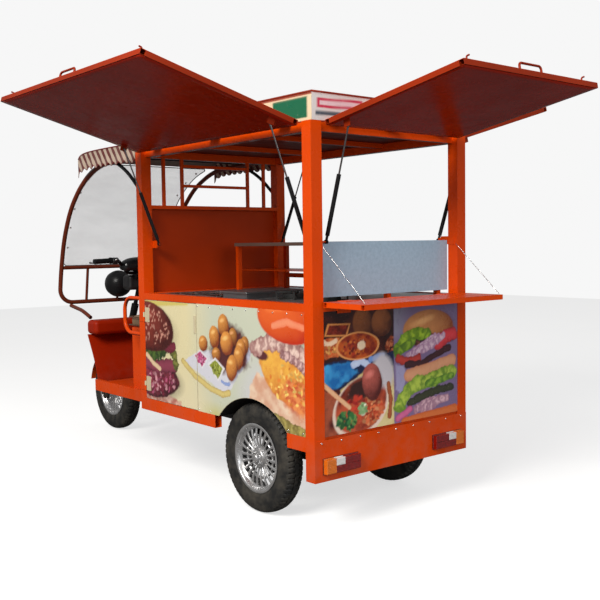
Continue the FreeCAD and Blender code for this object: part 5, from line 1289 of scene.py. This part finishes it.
def handlebar_hood():
    """The glossy rounded cover over the middle of the handlebar, and the rim of its dial."""
    rows, sides = 33, 28
    hood = []
    for t in np.linspace(-1, 1, rows):
        tall, deep = 0.040 * (1 - t ** 4) ** 0.5 + 0.004, 0.052 * (1 - t ** 6) ** 0.5 + 0.004
        for k in range(sides):
            a = 2 * math.pi * k / sides
            c, d = math.cos(a), math.sin(a)
            y = deep * math.copysign(abs(c) ** 0.8, c)
            z = tall * math.copysign(abs(d) ** 0.8, d) * (1.25 if d > 0 else 0.8)
            hood.append((0.165 * t, behind(2.318) + y, 1.138 + z + 0.012 * (1 - t * t)))
    new_piece("handlebar_hood", hood, grid_faces(rows, sides, False, True) + end_faces(rows, sides),
              LOOKS["gloss_black"], "steering")
    dial = [(0.047 * math.cos(a), behind(2.262), 1.168 + 0.020 * math.sin(a))
            for a in np.linspace(0, 2 * math.pi, 40)[:-1]]
    tube_piece("dial_bezel", dial, 0.0034, LOOKS["bright_steel"], "steering", True)


def handlebar_fittings():
    """A switch pod, its button, a perch and a hand lever beside each grip, and the hood between them."""
    y, z = behind(2.276), 1.1835
    black = LOOKS["black_plastic"]
    for side, name in ((1, "left"), (-1, "right")):
        inner = side * 0.222
        pod = [(inner + 0.02 * t, y - 0.006, z) for t in np.linspace(-1, 1, 15)]
        tube_piece(name + "_switch_pod", pod, lambda t: 0.0215 - 0.004 * (2 * t - 1) ** 8, black, "steering",
                   sides=20)
        lever(name + "_hand_lever", (side * 0.232, y - 0.030, z - 0.004),
              (side * 0.372, y - 0.058, z - 0.010))
        perch = [(side * 0.226, y - 0.004, z - 0.004), (side * 0.232, y - 0.036, z - 0.005)]
        tube_piece(name + "_lever_perch", perch, 0.0075, black, "steering", sides=14)
        dome_rivets(name + "_switch_button", [(inner, y + 0.014, z + 0.008)], (0, 0.8, 0.6), "steering",
                    0.007)
    handlebar_hood()


def stranded_wire(name, start, end):
    """A thin stay of three twisted strands that stretches from the post to the shelf."""
    start, end = Vector(start), Vector(end)
    side = (end - start).cross(Vector((0, 0, 1))).normalized()
    up = side.cross((end - start).normalized())
    for strand in range(3):
        line = []
        for t in np.linspace(0, 1, 120):
            angle = 2 * math.pi * (strand / 3 + t * 22)
            line.append(start.lerp(end, t) + 0.00085 * (math.cos(angle) * side + math.sin(angle) * up))
        piece = tube_piece(f"{name}_strand_{strand}", line, 0.0008, LOOKS["bright_steel"], None,
                           sides=6)
        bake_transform(piece)
        if strand == 0 and name == "left_stay":
            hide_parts("stay_wires")


def dome_rivets(name, places, normal, body, radius=0.0042):
    """Low round rivet heads on a flat face."""
    normal = Vector(normal)
    side = normal.cross(Vector((0.2, 0.3, 0.93))).normalized()
    up = normal.cross(side)
    points, faces = [], []
    for place in places:
        offset = len(points)
        for reach, out in ((1.0, 0.0), (0.92, 0.35), (0.6, 0.62), (0.2, 0.74)):
            for k in range(10):
                a = 2 * math.pi * k / 10
                around = math.cos(a) * side + math.sin(a) * up
                points.append(Vector(place) + radius * (reach * around + out * normal))
        faces += [tuple(i + offset for i in f) for f in grid_faces(4, 10, False, True)]
        faces.append(tuple(offset + 30 + k for k in range(10)))
    return new_piece(name, points, faces, LOOKS["bright_steel"], body)


def rivets():
    """Rivets above and below each printed side, clear of the wheel arch, and along the rear skirt."""
    z_low, z_high = 0.448, 0.970
    for name, side, end, pitch in (("left", 1, DOOR_SEAM - 0.010, 0.103),
                                   ("right", -1, PANEL_LENGTH, 0.1125)):
        spots = []
        for ahead in np.arange(0.075, end, pitch):
            spots.append((side * 0.5006, behind(ahead), z_high))
            if math.hypot(ahead - ARCH_AHEAD, z_low - ARCH_Z) > 0.372:
                spots.append((side * 0.5006, behind(ahead), z_low))
        dome_rivets(name + "_panel_rivets", spots, (side, 0, 0), "cart")
    spots = [(x, behind(-0.002), 0.410) for x in np.linspace(-0.46, 0.46, 9)]
    dome_rivets("rear_skirt_rivets", spots, (0, 1, 0), "cart")


# ---------------------------------------------------------------- sign box

def sign_pictures():
    """Plain colour blocks on the roof sign's faces, with no words."""
    length, height = PANEL_LENGTH, 0.1325
    p = Picture(length, height, 0.006, (232, 214, 178))
    p.lay((p.v > height - 0.014) * 1.0, (150, 66, 44))
    p.lay((p.v < 0.012) * 1.0, (232, 196, 140))
    p.patch([(1.16, 0.020), (1.40, 0.020), (1.40, 0.110), (1.16, 0.110)], (0, 104, 70), 0.004)
    p.oval((1.02, 0.066), (0.055, 0.046), (140, 22, 30), 0, 0.05)
    p.oval((1.02, 0.066), (0.036, 0.030), (232, 206, 190), 0, 0.08)
    p.oval((0.30, 0.066), (0.16, 0.040), (178, 60, 44), 0, 0.05)
    p.oval((0.30, 0.066), (0.12, 0.026), (240, 222, 190), 0, 0.06)
    p.patch([(0.56, 0.026), (0.92, 0.026), (0.90, 0.046), (0.54, 0.046)], (0, 104, 70), 0.004)
    q = Picture(0.900, height, 0.006, (226, 228, 226))
    q.lay((q.v > height - 0.010) * 1.0, (226, 190, 186))
    q.patch([(0.03, 0.062), (0.30, 0.070), (0.30, 0.112), (0.03, 0.104)], (206, 52, 86), 0.004)
    q.patch([(0.045, 0.074), (0.285, 0.081), (0.285, 0.100), (0.045, 0.094)], (236, 214, 220), 0.004)
    q.patch([(0.02, 0.030), (0.33, 0.036), (0.33, 0.052), (0.02, 0.048)], (78, 92, 104), 0.004)
    q.patch([(0.10, 0.0), (0.30, 0.0), (0.27, 0.026), (0.13, 0.026)], (24, 96, 66), 0.004)
    q.oval((0.62, 0.066), (0.10, 0.030), (196, 190, 188), 0, 0.08)
    q.oval((0.62, 0.066), (0.075, 0.019), (224, 226, 224), 0, 0.1)
    low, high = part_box("roof_sign_box")
    out = 0.0005
    for name, picture, place in (
        ("left", p, lambda u, v: (high.x + out, low.y + u, low.z + v)),
        ("right", p, lambda u, v: (low.x - out, high.y - u, low.z + v)),
        ("rear", q, lambda u, v: (high.x - u, high.y + out, low.z + v)),
        ("front", q, lambda u, v: (low.x + u, low.y - out, low.z + v)),
    ):
        film(f"sign_{name}_print", picture, place, "cart")
    corners = [(high.x, high.y), (low.x, high.y), (low.x, low.y), (high.x, low.y)]
    for index, z in enumerate((high.z - 0.003, low.z + 0.004)):
        for k in range(4):
            (x1, y1), (x2, y2) = corners[k], corners[(k + 1) % 4]
            line = [(x1 + (x2 - x1) * t, y1 + (y2 - y1) * t, z) for t in np.linspace(0, 1, 12)]
            tube_piece(f"sign_trim_{index}_{k}", line, 0.0045, LOOKS["sign_trim"], "cart",
                       sides=8)


# ---------------------------------------------------------------- printed panels

def to_arch(u, v):
    """How far a point of a side print is ahead of the wheel arch's centre, and above it."""
    return PANEL_LENGTH - u - ARCH_AHEAD, v + PANEL_LOW - ARCH_Z


def outside_arch(u, v):
    """Where a side print lies outside the wheel arch."""
    return np.hypot(*to_arch(u, v)) > PRINT_ARCH


def to_rim(u, v):
    """Points inside the arch move out to its rim, so that the print ends in a smooth curve."""
    ahead, up = to_arch(u, v)
    push = np.maximum(1.0, PRINT_ARCH / np.maximum(np.hypot(ahead, up), 1e-6))
    return PANEL_LENGTH - (ARCH_AHEAD + ahead * push), np.maximum(ARCH_Z + up * push - PANEL_LOW, 0.0)


def panel_prints():
    """The food pictures on the sides, the door and the rear. A side's u runs rearwards from its front end."""
    side = side_picture(1.370, PANEL_HEIGHT, 0.0042)
    seam = PANEL_LENGTH - DOOR_SEAM
    film("left_panel_print", side, lambda u, v: (0.5005, behind(PANEL_LENGTH - max(u, seam + 0.0015)),
                                                 PANEL_LOW + v), "cart", lambda u,
         v: outside_arch(u, v) & (u > seam - 0.001), to_rim)
    film("door_print", side, lambda u, v: (0.5005, behind(PANEL_LENGTH - min(max(u, 0.003), seam - 0.0035)),
                                           min(max(PANEL_LOW + v, 0.4385), 0.9795)),
         "door", lambda u, v: u < seam - 0.004)
    film("right_panel_print", side, lambda u, v: (-0.5005, behind(PANEL_LENGTH - u), PANEL_LOW + v), "cart",
         outside_arch, to_rim)
    film("rear_panel_print", rear_picture(0.880, PANEL_HEIGHT, 0.0036),
         lambda u, v: (0.440 - u, behind(0.003) + 0.0005, PANEL_LOW + v), "cart")


make_camera()
make_studio()
make_looks()
panel_prints()
sign_pictures()
wheels()
canopy()
for flap_side, flap_name in ((1, "left"), (-1, "right"), (0, "rear")):
    flap_lining(flap_side, flap_name, flap_name + "_flap")
cushion()
windscreen()
handlebar_fittings()
for wire_side, wire_name in ((1, "left_stay"), (-1, "right_stay")):
    stranded_wire(wire_name, (wire_side * 0.437, behind(0.008), 1.268),
                  (wire_side * 0.437, behind(-0.255), 1.030))
rivets()

scene.view_settings.view_transform = "Standard"
scene.view_settings.look = "None"
